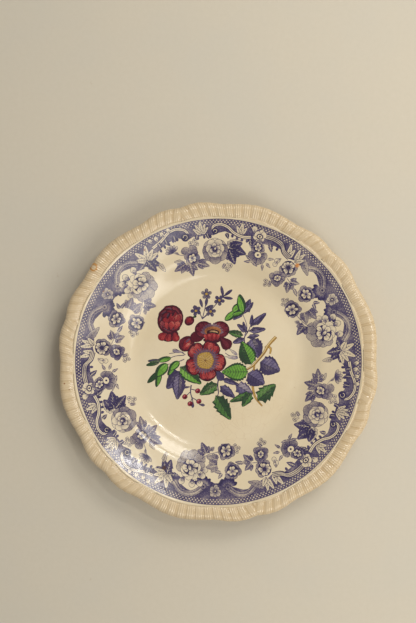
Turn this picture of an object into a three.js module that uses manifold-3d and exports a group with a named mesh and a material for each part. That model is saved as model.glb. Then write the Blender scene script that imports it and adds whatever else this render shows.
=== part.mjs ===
// A cream earthenware dinner plate with a lobed, gadrooned edge, a transfer-printed flower border and a
// painted bouquet. Millimetres, +Z up. The origin is the centre of the circle that the foot ring stands on.
//
// A plate is one fired moulding, so its separate solids are the layers that it is made in: the earthenware
// body, the two coats of glaze, the three transfer papers of the border, and the colours of the bouquet.
import * as THREE from 'three';
import { mergeVertices } from 'three/addons/utils/BufferGeometryUtils.js';
import Module from 'manifold-3d';

const wasm = await Module();
wasm.setup();

// ---- Driving dimensions -------------------------------------------------------------------------------

const EDGE_RADIUS = 134.8; // mean radius of the scalloped edge
const RIM_HEIGHT = 25.4; // highest point, the crest of the rolled edge
const WELL_HEIGHT = 6.5; // glazed face of the flat well
const WELL_RADIUS = 66; // the well is flat as far as this
const FOOT_RADIUS = 75.3; // middle of the foot ring
const FOOT_WIDTH = 2.2; // flat face of the foot ring
const RECESS_HEIGHT = 2; // glazed underside of the well, inside the foot ring
const BODY_THICKNESS = 4.2; // earthenware of the marly, under its glaze

const GLAZE = 0.35; // thickness of the glaze coat
const PRINT = 0.1; // a transfer print and its flux
const ENAMEL = 0.15; // an enamel colour laid over the glaze

const BORDER_INNER = 70.8; // the flower border runs from here
const BORDER_OUTER = 120.6; // to this circle, just inside the bead

const LOBES = 6; // repeats of the edge outline
const LOBE_HEIGHT = 1.3; // how far a lobe stands out from the mean radius
const LOBE_PHASE = 14.2; // degrees from +X to the middle of a broad lobe
const BRACKET_SPAN = 1.107; // the pair of small lobes meets in a notch before either comes back down
const BRACKET_RISE = 1.7; // how far the small lobes rise from the valley, in lobe heights
const BRACKET_SHARPNESS = 1.3;
const SEGMENTS = 72; // facets round the plate
const BORDER_REPEATS = 3; // papers round the border

const FINISHES = {
  biscuit: { color: 0xcdb892, roughness: 0.7 },
  glaze: { color: 0xd8c6a0, roughness: 0.12 },
  underGlaze: { color: 0xd8c6a0, roughness: 0.15 },
  violetInk: { color: 0x6f6879, roughness: 0.2 },
  violetPrint: { color: 0x554a6b, roughness: 0.2 },
  roseEnamel: { color: 0x8c3a40, roughness: 0.2 },
  stamenEnamel: { color: 0xa5853f, roughness: 0.2 },
  greenEnamel: { color: 0x4b7a3a, roughness: 0.2 },
  ochreEnamel: { color: 0xa8874a, roughness: 0.2 },
};

const degrees = THREE.MathUtils.degToRad;

// ---- Profile ------------------------------------------------------------------------------------------
// A profile point is { r, z, lobe }: lobe is the share of the edge outline that its ring follows.

const at = (r, z, lobe = 0) => ({ r, z, lobe });

// Face, from the centre outwards: flat well, verge, marly, bead, then the rolled gadroon edge.
const FACE = [
  at(0, WELL_HEIGHT),
  at(WELL_RADIUS, WELL_HEIGHT),
  at(BORDER_INNER, 7),
  at(78, 8.9),
  at(84, 11.6),
  at(91, 14.2),
  at(100, 16.6),
  at(110, 19.4),
  at(BORDER_OUTER, 22.8),
  at(123.6, 23.7, 0.9),
  at(127, 24.9, 1),
  at(130.2, RIM_HEIGHT, 1),
  at(133.4, 24.7, 1),
  at(EDGE_RADIUS, 23.2, 1),
];

// The back of the marly, straight below a point on its face.
const behind = (faceHeight) => faceHeight - BODY_THICKNESS - 2 * GLAZE;

// Back, from the edge in to the outer side of the foot ring.
const BACK = [
  at(133.2, 21.6, 1),
  at(122, behind(23.2), 0.5),
  at(100, behind(16.6)),
  at(86, 7.4),
  at(79.6, 4),
  at(FOOT_RADIUS + FOOT_WIDTH, 1.3),
];

// Bare foot ring, worn smooth where it meets the table.
const FOOT_OUTER = FOOT_RADIUS + FOOT_WIDTH / 2;
const FOOT_INNER = FOOT_RADIUS - FOOT_WIDTH / 2;
const FOOT = [at(FOOT_OUTER + 0.6, 0.5), at(FOOT_OUTER, 0), at(FOOT_INNER, 0), at(FOOT_INNER - 0.6, 0.5)];

// Underside of the well, from the inner side of the foot ring to the centre.
const RECESS = [
  at(FOOT_RADIUS - FOOT_WIDTH, 1.1),
  at(FOOT_RADIUS - FOOT_WIDTH - 3, RECESS_HEIGHT),
  at(0, RECESS_HEIGHT),
];

// The same run of points moved into the body by a depth, square to the run.
function inset(run, depth) {
  return run.map((point, i) => {
    if (point.r === 0) {
      const inward = run.length > 1 && i === 0 ? -1 : 1;
      return at(0, point.z + inward * depth);
    }
    const before = run[Math.max(i - 1, 0)];
    const after = run[Math.min(i + 1, run.length - 1)];
    const length = Math.hypot(after.r - before.r, after.z - before.z);
    const dr = (after.z - before.z) / length;
    const dz = -(after.r - before.r) / length;
    return at(point.r + dr * depth, point.z + dz * depth, point.lobe);
  });
}

// ---- Edge outline -------------------------------------------------------------------------------------
// Each repeat is one broad lobe, then a bracket of two smaller ones that meet in a notch.

function lobeOffset(angle) {
  const repeat = 360 / LOBES;
  const turn = (((angle - LOBE_PHASE) % repeat) + repeat) % repeat;
  const away = Math.min(turn, repeat - turn); // degrees from the middle of the broad lobe
  const valley = repeat / 4;
  if (away <= valley) return LOBE_HEIGHT * Math.cos((Math.PI * away) / valley);
  const rise = Math.sin((Math.PI * (away - valley)) / (valley * BRACKET_SPAN));
  return LOBE_HEIGHT * (BRACKET_RISE * rise ** BRACKET_SHARPNESS - 1);
}

function place(point, angle) {
  const radius = point.r + point.lobe * lobeOffset(angle);
  return [radius * Math.cos(degrees(angle)), radius * Math.sin(degrees(angle)), point.z];
}

// ---- Solids -------------------------------------------------------------------------------------------

// Turns a closed profile about +Z. A part turn is closed with a flat cap at each end. Each facet is split
// from its point nearer the axis, so that two layers split their shared face the same way.
function turned(profile, start = LOBE_PHASE, sweep = 360) {
  const steps = Math.round((SEGMENTS * sweep) / 360);
  const full = sweep === 360;
  const count = profile.length;
  const positions = [];
  const columns = full ? steps : steps + 1;
  for (let step = 0; step < columns; step++) {
    for (const point of profile) positions.push(...place(point, start + (step * sweep) / steps));
  }
  const index = [];
  const face = (a, b, c) => index.push(a, b, c);
  for (let step = 0; step < steps; step++) {
    const here = step * count;
    const next = ((step + 1) % columns) * count;
    for (let i = 0; i < count; i++) {
      const j = (i + 1) % count;
      if (profile[i].r === 0 && profile[j].r === 0) continue;
      if (profile[i].r < profile[j].r) {
        face(here + i, here + j, next + j);
        if (profile[i].r > 0) face(here + i, next + j, next + i);
      } else {
        face(here + i, here + j, next + i);
        if (profile[j].r > 0) face(here + j, next + j, next + i);
      }
    }
  }
  if (!full) {
    const outline = profile.map((point) => new THREE.Vector2(point.r, point.z));
    const last = (columns - 1) * count;
    const listed = THREE.ShapeUtils.isClockWise(outline);
    for (const [a, b, c] of THREE.ShapeUtils.triangulateShape(outline, [])) {
      const same = THREE.ShapeUtils.isClockWise([outline[a], outline[b], outline[c]]) === listed;
      const [p, q] = same ? [b, c] : [c, b];
      face(a, q, p);
      face(last + a, last + p, last + q);
    }
  }
  return facing(positions, index);
}

// A closed surface with its faces pointing out, whichever way round it was listed.
function facing(positions, index) {
  const corner = (i) => new THREE.Vector3().fromArray(positions, 3 * i);
  let volume = 0;
  for (let i = 0; i < index.length; i += 3) {
    const [a, b, c] = [corner(index[i]), corner(index[i + 1]), corner(index[i + 2])];
    volume += a.dot(b.cross(c));
  }
  if (volume < 0) index.reverse();
  const geometry = new THREE.BufferGeometry();
  geometry.setAttribute('position', new THREE.Float32BufferAttribute(positions, 3));
  geometry.setIndex(index);
  return geometry;
}

function slab(shape, thickness) {
  const geometry = new THREE.ExtrudeGeometry(shape, { depth: thickness, bevelEnabled: false });
  geometry.deleteAttribute('normal');
  geometry.deleteAttribute('uv');
  return mergeVertices(geometry.translate(0, 0, WELL_HEIGHT));
}

function solid(geometry) {
  const vertProperties = new Float32Array(geometry.attributes.position.array);
  const triVerts = new Uint32Array(geometry.index.array);
  return new wasm.Manifold(new wasm.Mesh({ numProp: 3, vertProperties, triVerts }));
}

// A flat patch of colour on the well. Outlines that overlap are one patch.
function patch(shapes, thickness) {
  const slabs = shapes.map((shape) => slab(shape, thickness));
  if (slabs.length === 1) return slabs[0];
  const whole = slabs.map(solid).reduce((sum, next) => sum.add(next));
  const { vertProperties, triVerts } = whole.getMesh();
  return facing([...vertProperties], [...triVerts]);
}

// ---- Outlines of the painted patches ------------------------------------------------------------------

const OUTLINE_POINTS = 14;
const ROSETTE_POINTS = 4; // for each petal
const LEAF_BALANCE = 0.85; // below 1, a leaf is widest nearer its stalk

// A closed outline round x, y, where offsetAt gives its distance across and up at each angle.
function outline(offsetAt, x, y, points) {
  const shape = [];
  for (let i = 0; i < points; i++) {
    const [dx, dy] = offsetAt((2 * Math.PI * i) / points);
    shape.push(new THREE.Vector2(x + dx, y + dy));
  }
  return new THREE.Shape(shape);
}

// An oval, for a cup, a bud or a berry.
function oval(x, y, halfLength, halfWidth, tilt = 0) {
  const [cos, sin] = [Math.cos(degrees(tilt)), Math.sin(degrees(tilt))];
  const offsetAt = (angle) => {
    const [u, v] = [halfLength * Math.cos(angle), halfWidth * Math.sin(angle)];
    return [u * cos - v * sin, u * sin + v * cos];
  };
  return outline(offsetAt, x, y, OUTLINE_POINTS);
}

// An open flower of round petals, the first of them pointing along an angle. Dip is how far the outline
// draws in between two petals, as a share of the radius.
function rosette(x, y, radius, petals, first = 90, dip = 0.18) {
  const offsetAt = (angle) => {
    const swell = Math.abs(Math.cos((petals * (angle - degrees(first))) / 2));
    const reach = radius * (1 - dip + dip * swell);
    return [reach * Math.cos(angle), reach * Math.sin(angle)];
  };
  return outline(offsetAt, x, y, petals * ROSETTE_POINTS);
}

// A leaf from its stalk to its tip.
function leaf(x0, y0, x1, y1, width) {
  const steps = OUTLINE_POINTS / 2;
  const [dx, dy] = [x1 - x0, y1 - y0];
  const length = Math.hypot(dx, dy);
  const edge = (t, side) => {
    const swell = (side * width * Math.sin(Math.PI * t ** LEAF_BALANCE)) / 2;
    return new THREE.Vector2(x0 + dx * t - (dy / length) * swell, y0 + dy * t + (dx / length) * swell);
  };
  const shape = [];
  for (let i = 0; i < steps; i++) shape.push(edge(i / steps, 1));
  for (let i = 0; i < steps; i++) shape.push(edge(1 - i / steps, -1));
  return new THREE.Shape(shape);
}

// A stem of even width through a few points.
function stem(width, ...points) {
  const route = points.map(([x, y]) => new THREE.Vector2(x, y));
  const side = route.map((point, i) => {
    const along = route[Math.min(i + 1, route.length - 1)].clone().sub(route[Math.max(i - 1, 0)]);
    return new THREE.Vector2(-along.y, along.x).setLength(width / 2);
  });
  const left = route.map((point, i) => point.clone().add(side[i]));
  const right = route.map((point, i) => point.clone().sub(side[i]));
  return new THREE.Shape([...left, ...right.reverse()]);
}

// ---- The bouquet, in millimetres from the middle of the plate ------------------------------------------

const ROSE_MIDDLE = [-11, 0.5];
const STAMENS_RADIUS = 6.6;
const ENAMEL_GAP = 0.3; // bare glaze between the petals and the stamens

const openRose = rosette(...ROSE_MIDDLE, 17, 5, 63, 0.2);
const roseHeart = STAMENS_RADIUS + ENAMEL_GAP;
openRose.holes.push(new THREE.Path(oval(...ROSE_MIDDLE, roseHeart, roseHeart).getPoints()));

const BERRY_RADIUS = 1.9;
const BERRIES = [[-17.5, -25.5], [-28.5, -30.5], [-24, -36.5], [-16.5, -34.5]];

const FLORET_RADIUS = 4.2;
const FLORETS = [[-10, 58], [1, 52], [-6.5, 42], [-19, 43]];
const FLORET_FORK = [-13, 37.5]; // where the stalks of the florets meet

// Each entry is one kind of patch. Each list in it is one patch, drawn with outlines that overlap.
const BOUQUET = {
  open_rose_enamel: { finish: 'roseEnamel', bodies: [[openRose]] },
  open_rose_stamens: {
    finish: 'stamenEnamel',
    bodies: [[oval(...ROSE_MIDDLE, STAMENS_RADIUS, STAMENS_RADIUS)]],
  },
  cup_rose_enamel: {
    finish: 'roseEnamel',
    bodies: [[oval(-6, 27, 15.5, 8.2, -4), oval(6, 21, 5.5, 5, -50)]],
  },
  peony_enamel: {
    finish: 'roseEnamel',
    bodies: [[oval(-41, 35.5, 12.5, 11, 70), oval(-42, 22.5, 6, 3.6, 30)]],
  },
  rosebud_enamel: {
    finish: 'roseEnamel',
    bodies: [[oval(-25.6, 36, 3.8, 3.4)], [oval(-29.5, 16, 5, 4, 50)]],
  },
  berry_enamel: {
    finish: 'roseEnamel',
    bodies: BERRIES.map(([x, y]) => [oval(x, y, BERRY_RADIUS, BERRY_RADIUS)]),
  },
  green_leaf_enamel: {
    finish: 'greenEnamel',
    bodies: [
      [leaf(28, -2, 20, 16, 11)],
      [leaf(24, -8, 7, -11, 11)],
      [leaf(-33, -7, -19, -20, 7)],
      [leaf(-2, -20, -14, -28, 8)],
      [leaf(0, -31, 10, -49, 10)],
      [leaf(36, -33, 48, -20, 10)],
      [leaf(28, -28, 12, -34, 5)],
      [leaf(21, 22, 9, 25, 4)],
    ],
  },
  green_bud_enamel: {
    finish: 'greenEnamel',
    bodies: [
      [leaf(-41, 3, -51, 0, 3.6), leaf(-49, 0, -60, -3, 3.4)],
      [leaf(-45, -3, -53, -13, 7), leaf(-51, -9, -59, -17, 3.2), leaf(-50, -10, -52, -21, 3.4)],
      [leaf(-34, -2, -42, -11, 5)],
      [leaf(7, 36, 17, 44, 4.4), leaf(14, 42, 20, 50, 5), leaf(18, 57, 20, 44, 4.4)],
    ],
  },
  ochre_twig_enamel: {
    finish: 'ochreEnamel',
    bodies: [
      [stem(1.6, [28, -4.5], [35, 2.5], [41, 12], [49, 20]), stem(1.4, [41, 11], [45, 10], [44, 6])],
      [stem(1.4, [29, -21], [31.5, -30], [37, -38])],
    ],
  },
  violet_leaf_print: {
    finish: 'violetPrint',
    bodies: [
      [oval(32.5, 12.5, 6, 4.6, 110)],
      [oval(44.5, -3, 6.6, 5.8, -20)],
      [oval(32, -13, 6.4, 6)],
      [leaf(-34, -10, -43, -23, 9), leaf(-35, -12, -33, -32, 9)],
      [leaf(4, -22, 13, -30, 6)],
      [leaf(16, -20, 27, -25, 6)],
      [leaf(3, -15, 17, -19, 4)],
    ],
  },
  violet_cluster_print: {
    finish: 'violetPrint',
    bodies: [
      [
        ...FLORETS.map(([x, y]) => rosette(x, y, FLORET_RADIUS, 5)),
        ...FLORETS.map((floret) => stem(0.8, floret, FLORET_FORK)),
      ],
    ],
  },
  violet_spray_print: {
    finish: 'violetPrint',
    bodies: [
      [
        stem(0.9, [22, 18], [25, 24], [29, 30]),
        leaf(28, 28, 41, 41, 5),
        leaf(28, 28, 29, 39, 3),
        leaf(26, 26, 40, 27, 4.4),
        leaf(25.4, 24.5, 17, 32, 4.6),
        leaf(22.8, 19.5, 13, 18, 3),
      ],
      [leaf(22, 40, 27, 52, 5), leaf(23, 42, 13, 36, 2.4)],
    ],
  },
  violet_stem_print: {
    finish: 'violetPrint',
    bodies: [
      [
        stem(0.8, [-23, -21], [-23.6, -27], [-22, -33], [-21, -39]),
        stem(0.6, [-23.2, -24], [-20.2, -25]),
        stem(0.6, [-23.4, -26], [-26.2, -29]),
        stem(0.6, [-22.6, -31], [-19.2, -33.6]),
      ],
      [stem(0.8, [-30, 4], [-34, 8], [-42, 7.5]), stem(0.8, [-30, 4.2], [-35, 3], [-39.6, 2.6])],
      [stem(0.8, [7, 8], [11, 10.5], [16, 7]), stem(0.8, [7, 8.2], [11, 5], [17, 3])],
    ],
  },
};

// ---- The plate ----------------------------------------------------------------------------------------

function named(name, geometry, finish) {
  const material = new THREE.MeshStandardMaterial({ ...FINISHES[finish], metalness: 0 });
  const mesh = new THREE.Mesh(geometry, material);
  mesh.name = name;
  return mesh;
}

const plate = new THREE.Group();

const coat = [...FACE, ...BACK];
const coatUnder = inset(coat, GLAZE);
const recessUnder = inset(RECESS, GLAZE);

plate.add(named('earthenware_body', turned([...coatUnder, ...FOOT, ...recessUnder]), 'biscuit'));
plate.add(named('glaze_coat', turned([...coat, ...coatUnder.toReversed()]), 'glaze'));
plate.add(named('underside_glaze', turned([...RECESS, ...recessUnder.toReversed()]), 'underGlaze'));

const bordered = FACE.filter((point) => point.r >= BORDER_INNER && point.r <= BORDER_OUTER);
const printed = bordered.map((point) => at(point.r, point.z + PRINT));
for (let paper = 0; paper < BORDER_REPEATS; paper++) {
  const sweep = 360 / BORDER_REPEATS;
  const strip = turned([...printed, ...bordered.toReversed()], LOBE_PHASE + paper * sweep, sweep);
  plate.add(named(`border_transfer_${paper + 1}`, strip, 'violetInk'));
}

for (const [kind, { finish, bodies }] of Object.entries(BOUQUET)) {
  const thickness = finish === 'violetPrint' ? PRINT : ENAMEL;
  bodies.forEach((shapes, i) => {
    const name = bodies.length > 1 ? `${kind}_${i + 1}` : kind;
    plate.add(named(name, patch(shapes, thickness), finish));
  });
}

export default plate;
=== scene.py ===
import math

import bmesh
import bpy
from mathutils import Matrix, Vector
from mathutils.geometry import delaunay_2d_cdt


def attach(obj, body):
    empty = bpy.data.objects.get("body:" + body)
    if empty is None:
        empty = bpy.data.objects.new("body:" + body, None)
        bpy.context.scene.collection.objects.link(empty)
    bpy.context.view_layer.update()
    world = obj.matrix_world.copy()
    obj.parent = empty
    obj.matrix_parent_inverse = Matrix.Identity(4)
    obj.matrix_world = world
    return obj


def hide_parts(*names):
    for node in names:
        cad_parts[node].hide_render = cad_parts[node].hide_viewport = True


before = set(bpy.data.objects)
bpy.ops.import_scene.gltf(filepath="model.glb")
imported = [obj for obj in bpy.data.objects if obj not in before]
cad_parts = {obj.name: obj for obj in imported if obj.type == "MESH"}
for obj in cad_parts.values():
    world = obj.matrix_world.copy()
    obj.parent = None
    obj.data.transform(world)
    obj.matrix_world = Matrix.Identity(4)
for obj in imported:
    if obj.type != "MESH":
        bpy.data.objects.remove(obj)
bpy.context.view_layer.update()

# ---- Driving dimensions, in millimetres as in the CAD, metres only in the finished meshes ----------------

MM = 0.001
ROOT = "root"

EDGE_RADIUS = 134.8
RIM_HEIGHT = 25.4
WELL_HEIGHT = 6.5
FOOT_RADIUS = 75.3
FOOT_WIDTH = 2.2
RECESS_HEIGHT = 2.0
GLAZE = 0.35
INSIDE_BOX = 0.35  # the fine edge stays this far inside the edge of the CAD

BORDER_INNER = 70.8
BORDER_OUTER = 120.6
BORDER_HEIGHT = 22.8  # of the marly at the outside of the border
BORDER_REPEATS = 3
BORDER_TURN = 360 / BORDER_REPEATS

LOBES = 6
LOBE_HEIGHT = 1.3
LOBE_PHASE = 14.2
ARCH_RISE = 1.7  # the two small arches of a bracket, as a share of the lobe's height
ARCH_POWER = 1.3
ARCH_SPAN = 1.107  # an arch is cut off by the notch just before it comes down
RIBS_PER_LOBE = 18
FLUTES_PER_RIB = 4
EDGE_STEPS = 20 * RIBS_PER_LOBE * LOBES  # points round the rolled edge
RIB_SKEW = 1.3  # each rib is steeper on the side towards the notch
RIB_DEPTH = 0.5
HOLLOW_POWER = 0.4  # a small power keeps the hollows between the ribs narrow
FLUTE_DEPTH = 0.36
RIB_LEAN = 0.077  # share by which a rib's outer end leans towards the notch

INK_FILM = 0.03
ENAMEL_FILM = 0.07
FILM_ROOT = 0.06  # how far a film reaches down into the glaze
UNEVEN = 0.16  # how much the cover of the pigments wanders


def linear(red, green, blue):
    """A colour given as it looks on a screen, from 0 to 255, as the renderer counts it."""
    out = []
    for part in (red, green, blue):
        c = part / 255
        out.append(c / 12.92 if c <= 0.04045 else ((c + 0.055) / 1.055) ** 2.4)
    return (*out, 1.0)


def smooth(low, high, x):
    t = min(max((x - low) / (high - low), 0.0), 1.0)
    return t * t * (3 - 2 * t)


# ---- The plate's section ---------------------------------------------------------------------------------

FACE = [
    (0, WELL_HEIGHT), (60, WELL_HEIGHT), (66, 6.55), (BORDER_INNER, 7.05), (74, 7.75), (78, 9.15),
    (84, 11.75), (88, 13.45), (91, 14.4), (94, 15.15), (100, 16.7), (110, 19.5), (117, 21.65),
    (BORDER_OUTER, BORDER_HEIGHT), (126, 24.6),
]
BACK = [
    (FOOT_RADIUS + FOOT_WIDTH, 1.3), (78.6, 2.9), (80.6, 4.6), (86, 7.3), (100, 11.4), (122, 18.4),
    (133.4, 21.8),
]
# The rolled edge, from the groove outside the bead, over the crest and under.
ROLL = [
    (122.4, 23.2), (124.2, 24.2), (126.8, 24.95), (129.8, RIM_HEIGHT), (131.9, 25.2), (133.3, 24.6),
    (134.3, 23.7), (EDGE_RADIUS, 22.9), (134.5, 22.2), (133.6, 21.7), (131.5, 21.15),
]
# The bead, from its inner side to its outer: place across it, and share of its height.
BEAD = [(-0.7, 0.1), (-0.4, 0.55), (0, 1), (0.4, 0.6), (0.7, -0.3), (0.95, -0.5)]
BEAD_RADIUS = 121.5
BEAD_HEIGHT = 0.26
BEAD_REACH = 1.15  # the room that it needs on its inner side
EDGE_SWING = 0.5  # the bead and the root of the gadroon swing in and out less than the edge does
MARLY_SLOPE = (FACE[-1][1] - BORDER_HEIGHT) / (FACE[-1][0] - BORDER_OUTER)
# The foot's rounded sides: how far out from its flat face, and how high.
FOOT_SIDE = [(1.0, 0.9), (0.7, 0.42), (0.3, 0.1), (-0.1, 0)]
# Inside the foot: how far in from it, and how high, for the earthenware and for the glaze over it.
RECESS_CLAY = [(1.2, 1.25), (2.2, 2.0), (4, RECESS_HEIGHT + GLAZE)]
RECESS_GLAZE = [(1.1, 1.05), (1.5, 1.45), (2.6, 1.85), (4.2, RECESS_HEIGHT)]


def curve_through(points):
    """A smooth curve through points that never overshoots them."""
    xs = [p[0] for p in points]
    ys = [p[1] for p in points]
    rises = [(ys[i + 1] - ys[i]) / (xs[i + 1] - xs[i]) for i in range(len(xs) - 1)]
    slopes = [rises[0]]
    for before, after in zip(rises, rises[1:]):
        slopes.append(0 if before * after <= 0 else 2 * before * after / (before + after))
    slopes.append(rises[-1])

    def height(x):
        i = 0
        while i < len(xs) - 2 and x > xs[i + 1]:
            i += 1
        width = xs[i + 1] - xs[i]
        t = (x - xs[i]) / width
        return (
            ys[i] * (1 + 2 * t) * (1 - t) ** 2
            + ys[i + 1] * t * t * (3 - 2 * t)
            + width * (slopes[i] * t * (1 - t) ** 2 - slopes[i + 1] * t * t * (1 - t))
        )

    return height


face_height = curve_through(FACE)
back_height = curve_through(BACK)


def lobe_offset(angle):
    """The edge outline: one broad lobe, then a bracket of two smaller ones that meet in a notch."""
    repeat = 360 / LOBES
    turn = (angle - LOBE_PHASE) % repeat
    away = min(turn, repeat - turn)
    valley = repeat / 4
    if away <= valley:
        return LOBE_HEIGHT * math.cos(math.pi * away / valley)
    rise = math.sin(math.pi * (away - valley) / (valley * ARCH_SPAN))
    return LOBE_HEIGHT * (-1 + ARCH_RISE * rise**ARCH_POWER)


def rib_cut(angle, along):
    """How deep the gadroon is cut at an angle, where along runs from 0 at the groove to 1 at the edge."""
    repeat = 360 / LOBES
    turn = (angle - LOBE_PHASE + repeat / 2) % repeat - repeat / 2
    straight = turn / (1 + RIB_LEAN * (along - 0.5))
    rib = abs(straight) * RIBS_PER_LOBE / repeat
    hollow = 1 - math.sin(math.pi * (rib % 1.0) ** RIB_SKEW) ** HOLLOW_POWER
    flute = 0.5 - 0.5 * math.cos(2 * math.pi * rib * FLUTES_PER_RIB)
    return RIB_DEPTH * hollow + FLUTE_DEPTH * flute


def direction(angle):
    return math.cos(math.radians(angle)), math.sin(math.radians(angle))


def polar(angle, radius):
    cos, sin = direction(angle)
    return radius * cos, radius * sin


def ahead(x, y, heading, distance):
    """The point at a distance from x, y."""
    cos, sin = direction(heading)
    return x + distance * cos, y + distance * sin


def between(start, end):
    """The place, heading and length of a straight run."""
    heading = math.degrees(math.atan2(end[1] - start[1], end[0] - start[0]))
    return *start, heading, math.dist(start, end)


# ---- Meshes from rings -----------------------------------------------------------------------------------


def ring(count, radius_at, height_at):
    """Points round the axis. The radius follows the angle, and the height the angle and the radius."""
    points = []
    for i in range(count):
        angle = 360 * i / count
        radius = radius_at(angle)
        points.append((*polar(angle, radius), height_at(angle, radius)))
    return points


def plain_ring(count, radius, height, share=0.0):
    return ring(count, lambda a: radius + share * lobe_offset(a), lambda a, r: height)


def stitch(faces, inner, outer):
    """Faces between two rings of indices. The longer has a whole number of points for each of the other's."""
    flip = len(inner) > len(outer)
    few, many = (outer, inner) if flip else (inner, outer)
    each = len(many) // len(few)
    for i, here in enumerate(few):
        after = few[(i + 1) % len(few)]
        run = [many[(i * each + k) % len(many)] for k in range(each + 1)]
        if len(few) == 1:
            new = [(here, run[k], run[k + 1]) for k in range(each)]
        elif each == 1:
            new = [(here, run[0], run[1], after)]
        else:
            half = each // 2
            new = [(here, run[k], run[k + 1]) for k in range(half)]
            new.append((here, run[half], after))
            new += [(after, run[k], run[k + 1]) for k in range(half, each)]
        faces += [tuple(reversed(f)) for f in new] if flip else new


def mesh_from(name, points, faces):
    mesh = bpy.data.meshes.new(name)
    mesh.from_pydata([(x * MM, y * MM, z * MM) for x, y, z in points], [], faces)
    mesh.validate()
    work = bmesh.new()
    work.from_mesh(mesh)
    bmesh.ops.recalc_face_normals(work, faces=work.faces)
    work.to_mesh(mesh)
    work.free()
    piece = bpy.data.objects.new(name, mesh)
    bpy.context.scene.collection.objects.link(piece)
    return piece


def ring_solid(name, rings):
    """A closed solid from rings, of which the first and the last are single points on the axis."""
    points = []
    numbered = []
    for one in rings:
        numbered.append(list(range(len(points), len(points) + len(one))))
        points += one
    faces = []
    for inner, outer in zip(numbered, numbered[1:]):
        stitch(faces, inner, outer)
    piece = mesh_from(name, points, faces)
    piece.data.shade_smooth()
    return piece


def steps(start, end, size):
    """Even steps of about a size, without the start."""
    count = max(1, round(abs(end - start) / size))
    return [start + (end - start) * i / count for i in range(1, count + 1)]


def face_rings():
    """The glazed face from the centre to the outside of the border."""
    rings = [[(0, 0, WELL_HEIGHT)]]
    for count, radii in (
        (60, [8, 20]),
        (180, [40, 54]),
        (360, [60, 63] + steps(64, 98, 1.0) + steps(98, 120, 1.7) + [BORDER_OUTER]),
    ):
        rings += [plain_ring(count, r, face_height(r)) for r in radii]
    return rings


def bead_rings():
    """The narrow raised line between the print and the gadroon. It follows the edge outline."""
    rings = []
    inner = BORDER_OUTER + 0.02
    for across, rise in BEAD:

        def radius_at(angle, across=across):
            centre = BEAD_RADIUS + EDGE_SWING * lobe_offset(angle)
            reach = min(1.0, (centre - inner) / BEAD_REACH) if across < 0 else 1.0
            return centre + across * max(reach, 0.15)

        def height_at(angle, radius, rise=rise):
            return BORDER_HEIGHT + MARLY_SLOPE * (radius - BORDER_OUTER) + BEAD_HEIGHT * rise

        rings.append(ring(EDGE_STEPS // 3, radius_at, height_at))
    return rings


def spline(points, cuts):
    """Points of a Catmull-Rom curve through the given ones."""
    out = []
    for i in range(len(points) - 1):
        p0 = points[max(i - 1, 0)]
        p1, p2 = points[i], points[i + 1]
        p3 = points[min(i + 2, len(points) - 1)]
        for k in range(cuts):
            t = k / cuts
            point = []
            for a, b, c, d in zip(p0, p1, p2, p3):
                square, cube = 2 * a - 5 * b + 4 * c - d, 3 * b - a - 3 * c + d
                point.append(0.5 * (2 * b + (c - a) * t + square * t * t + cube * t**3))
            out.append(tuple(point))
    out.append(tuple(points[-1]))
    return out


def roll_rings():
    """The rolled edge with its ribs and flutes cut square to its section, and how deep each point is cut."""
    section = spline(ROLL, 2)
    top = ROLL[0][0]
    rings, cuts = [], []
    for i, (radius, height) in enumerate(section):
        before, after = section[max(i - 1, 0)], section[min(i + 1, len(section) - 1)]
        length = math.hypot(after[0] - before[0], after[1] - before[1])
        inward = ((after[1] - before[1]) / length, -(after[0] - before[0]) / length)
        along = i / (len(section) - 1)
        depth = smooth(0.0, 0.06, along) * (1 - 0.4 * smooth(0.45, 0.75, along))
        depth *= 1 - smooth(0.8, 0.98, along)
        lean = min(max((radius - top) / (EDGE_RADIUS - top), 0.0), 1.0) if along < 0.8 else 1.0
        swing = EDGE_SWING + (1 - EDGE_SWING) * smooth(0.0, 0.6, lean)
        row = []
        for k in range(EDGE_STEPS):
            angle = 360 * k / EDGE_STEPS
            cut = depth * rib_cut(angle, lean)
            cuts.append(cut / (RIB_DEPTH + FLUTE_DEPTH))
            reach = radius - INSIDE_BOX * lean + swing * lobe_offset(angle) + inward[0] * cut
            row.append((*polar(angle, reach), height + inward[1] * cut))
        rings.append(row)
    return rings, cuts


def back_rings():
    """The glazed back, from under the rolled edge to the outside of the foot."""
    rings = [plain_ring(EDGE_STEPS // 3, 129.6, back_height(129.6) - 0.1, 0.9)]
    rings += [plain_ring(EDGE_STEPS // 3, r, back_height(r), (r - 118) / 14) for r in (127, 124, 121)]
    radii = steps(121, 86, 2.5) + steps(86, 80, 0.8) + [79.3, 78.6, 78.0, 77.7, FOOT_RADIUS + FOOT_WIDTH]
    return rings + [plain_ring(360, r, back_height(r)) for r in radii]


def coat_lining():
    """The inside of the glaze coat, which is the surface of the earthenware, from the foot to the centre."""
    rings = [plain_ring(360, r - 0.28, back_height(r) + 0.1) for r in (77.7, 78.6, 79.3)]
    rings += [plain_ring(360, r, back_height(r) + GLAZE) for r in steps(80, 121, 4)]
    rings += [
        plain_ring(360, 128, 21.1, 0.9), plain_ring(360, 131.4, 22.2, 1), plain_ring(360, 132.7, 23.0, 1),
        plain_ring(360, 131.6, 24.1, 1), plain_ring(360, 129.4, 24.2, 1), plain_ring(360, 125.6, 22.95, 1),
    ]
    rings += [plain_ring(360, r, face_height(r) - GLAZE) for r in [119.5] + steps(119, 66, 3)]
    rings += [plain_ring(60, 20, WELL_HEIGHT - GLAZE), [(0, 0, WELL_HEIGHT - GLAZE)]]
    return rings


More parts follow.
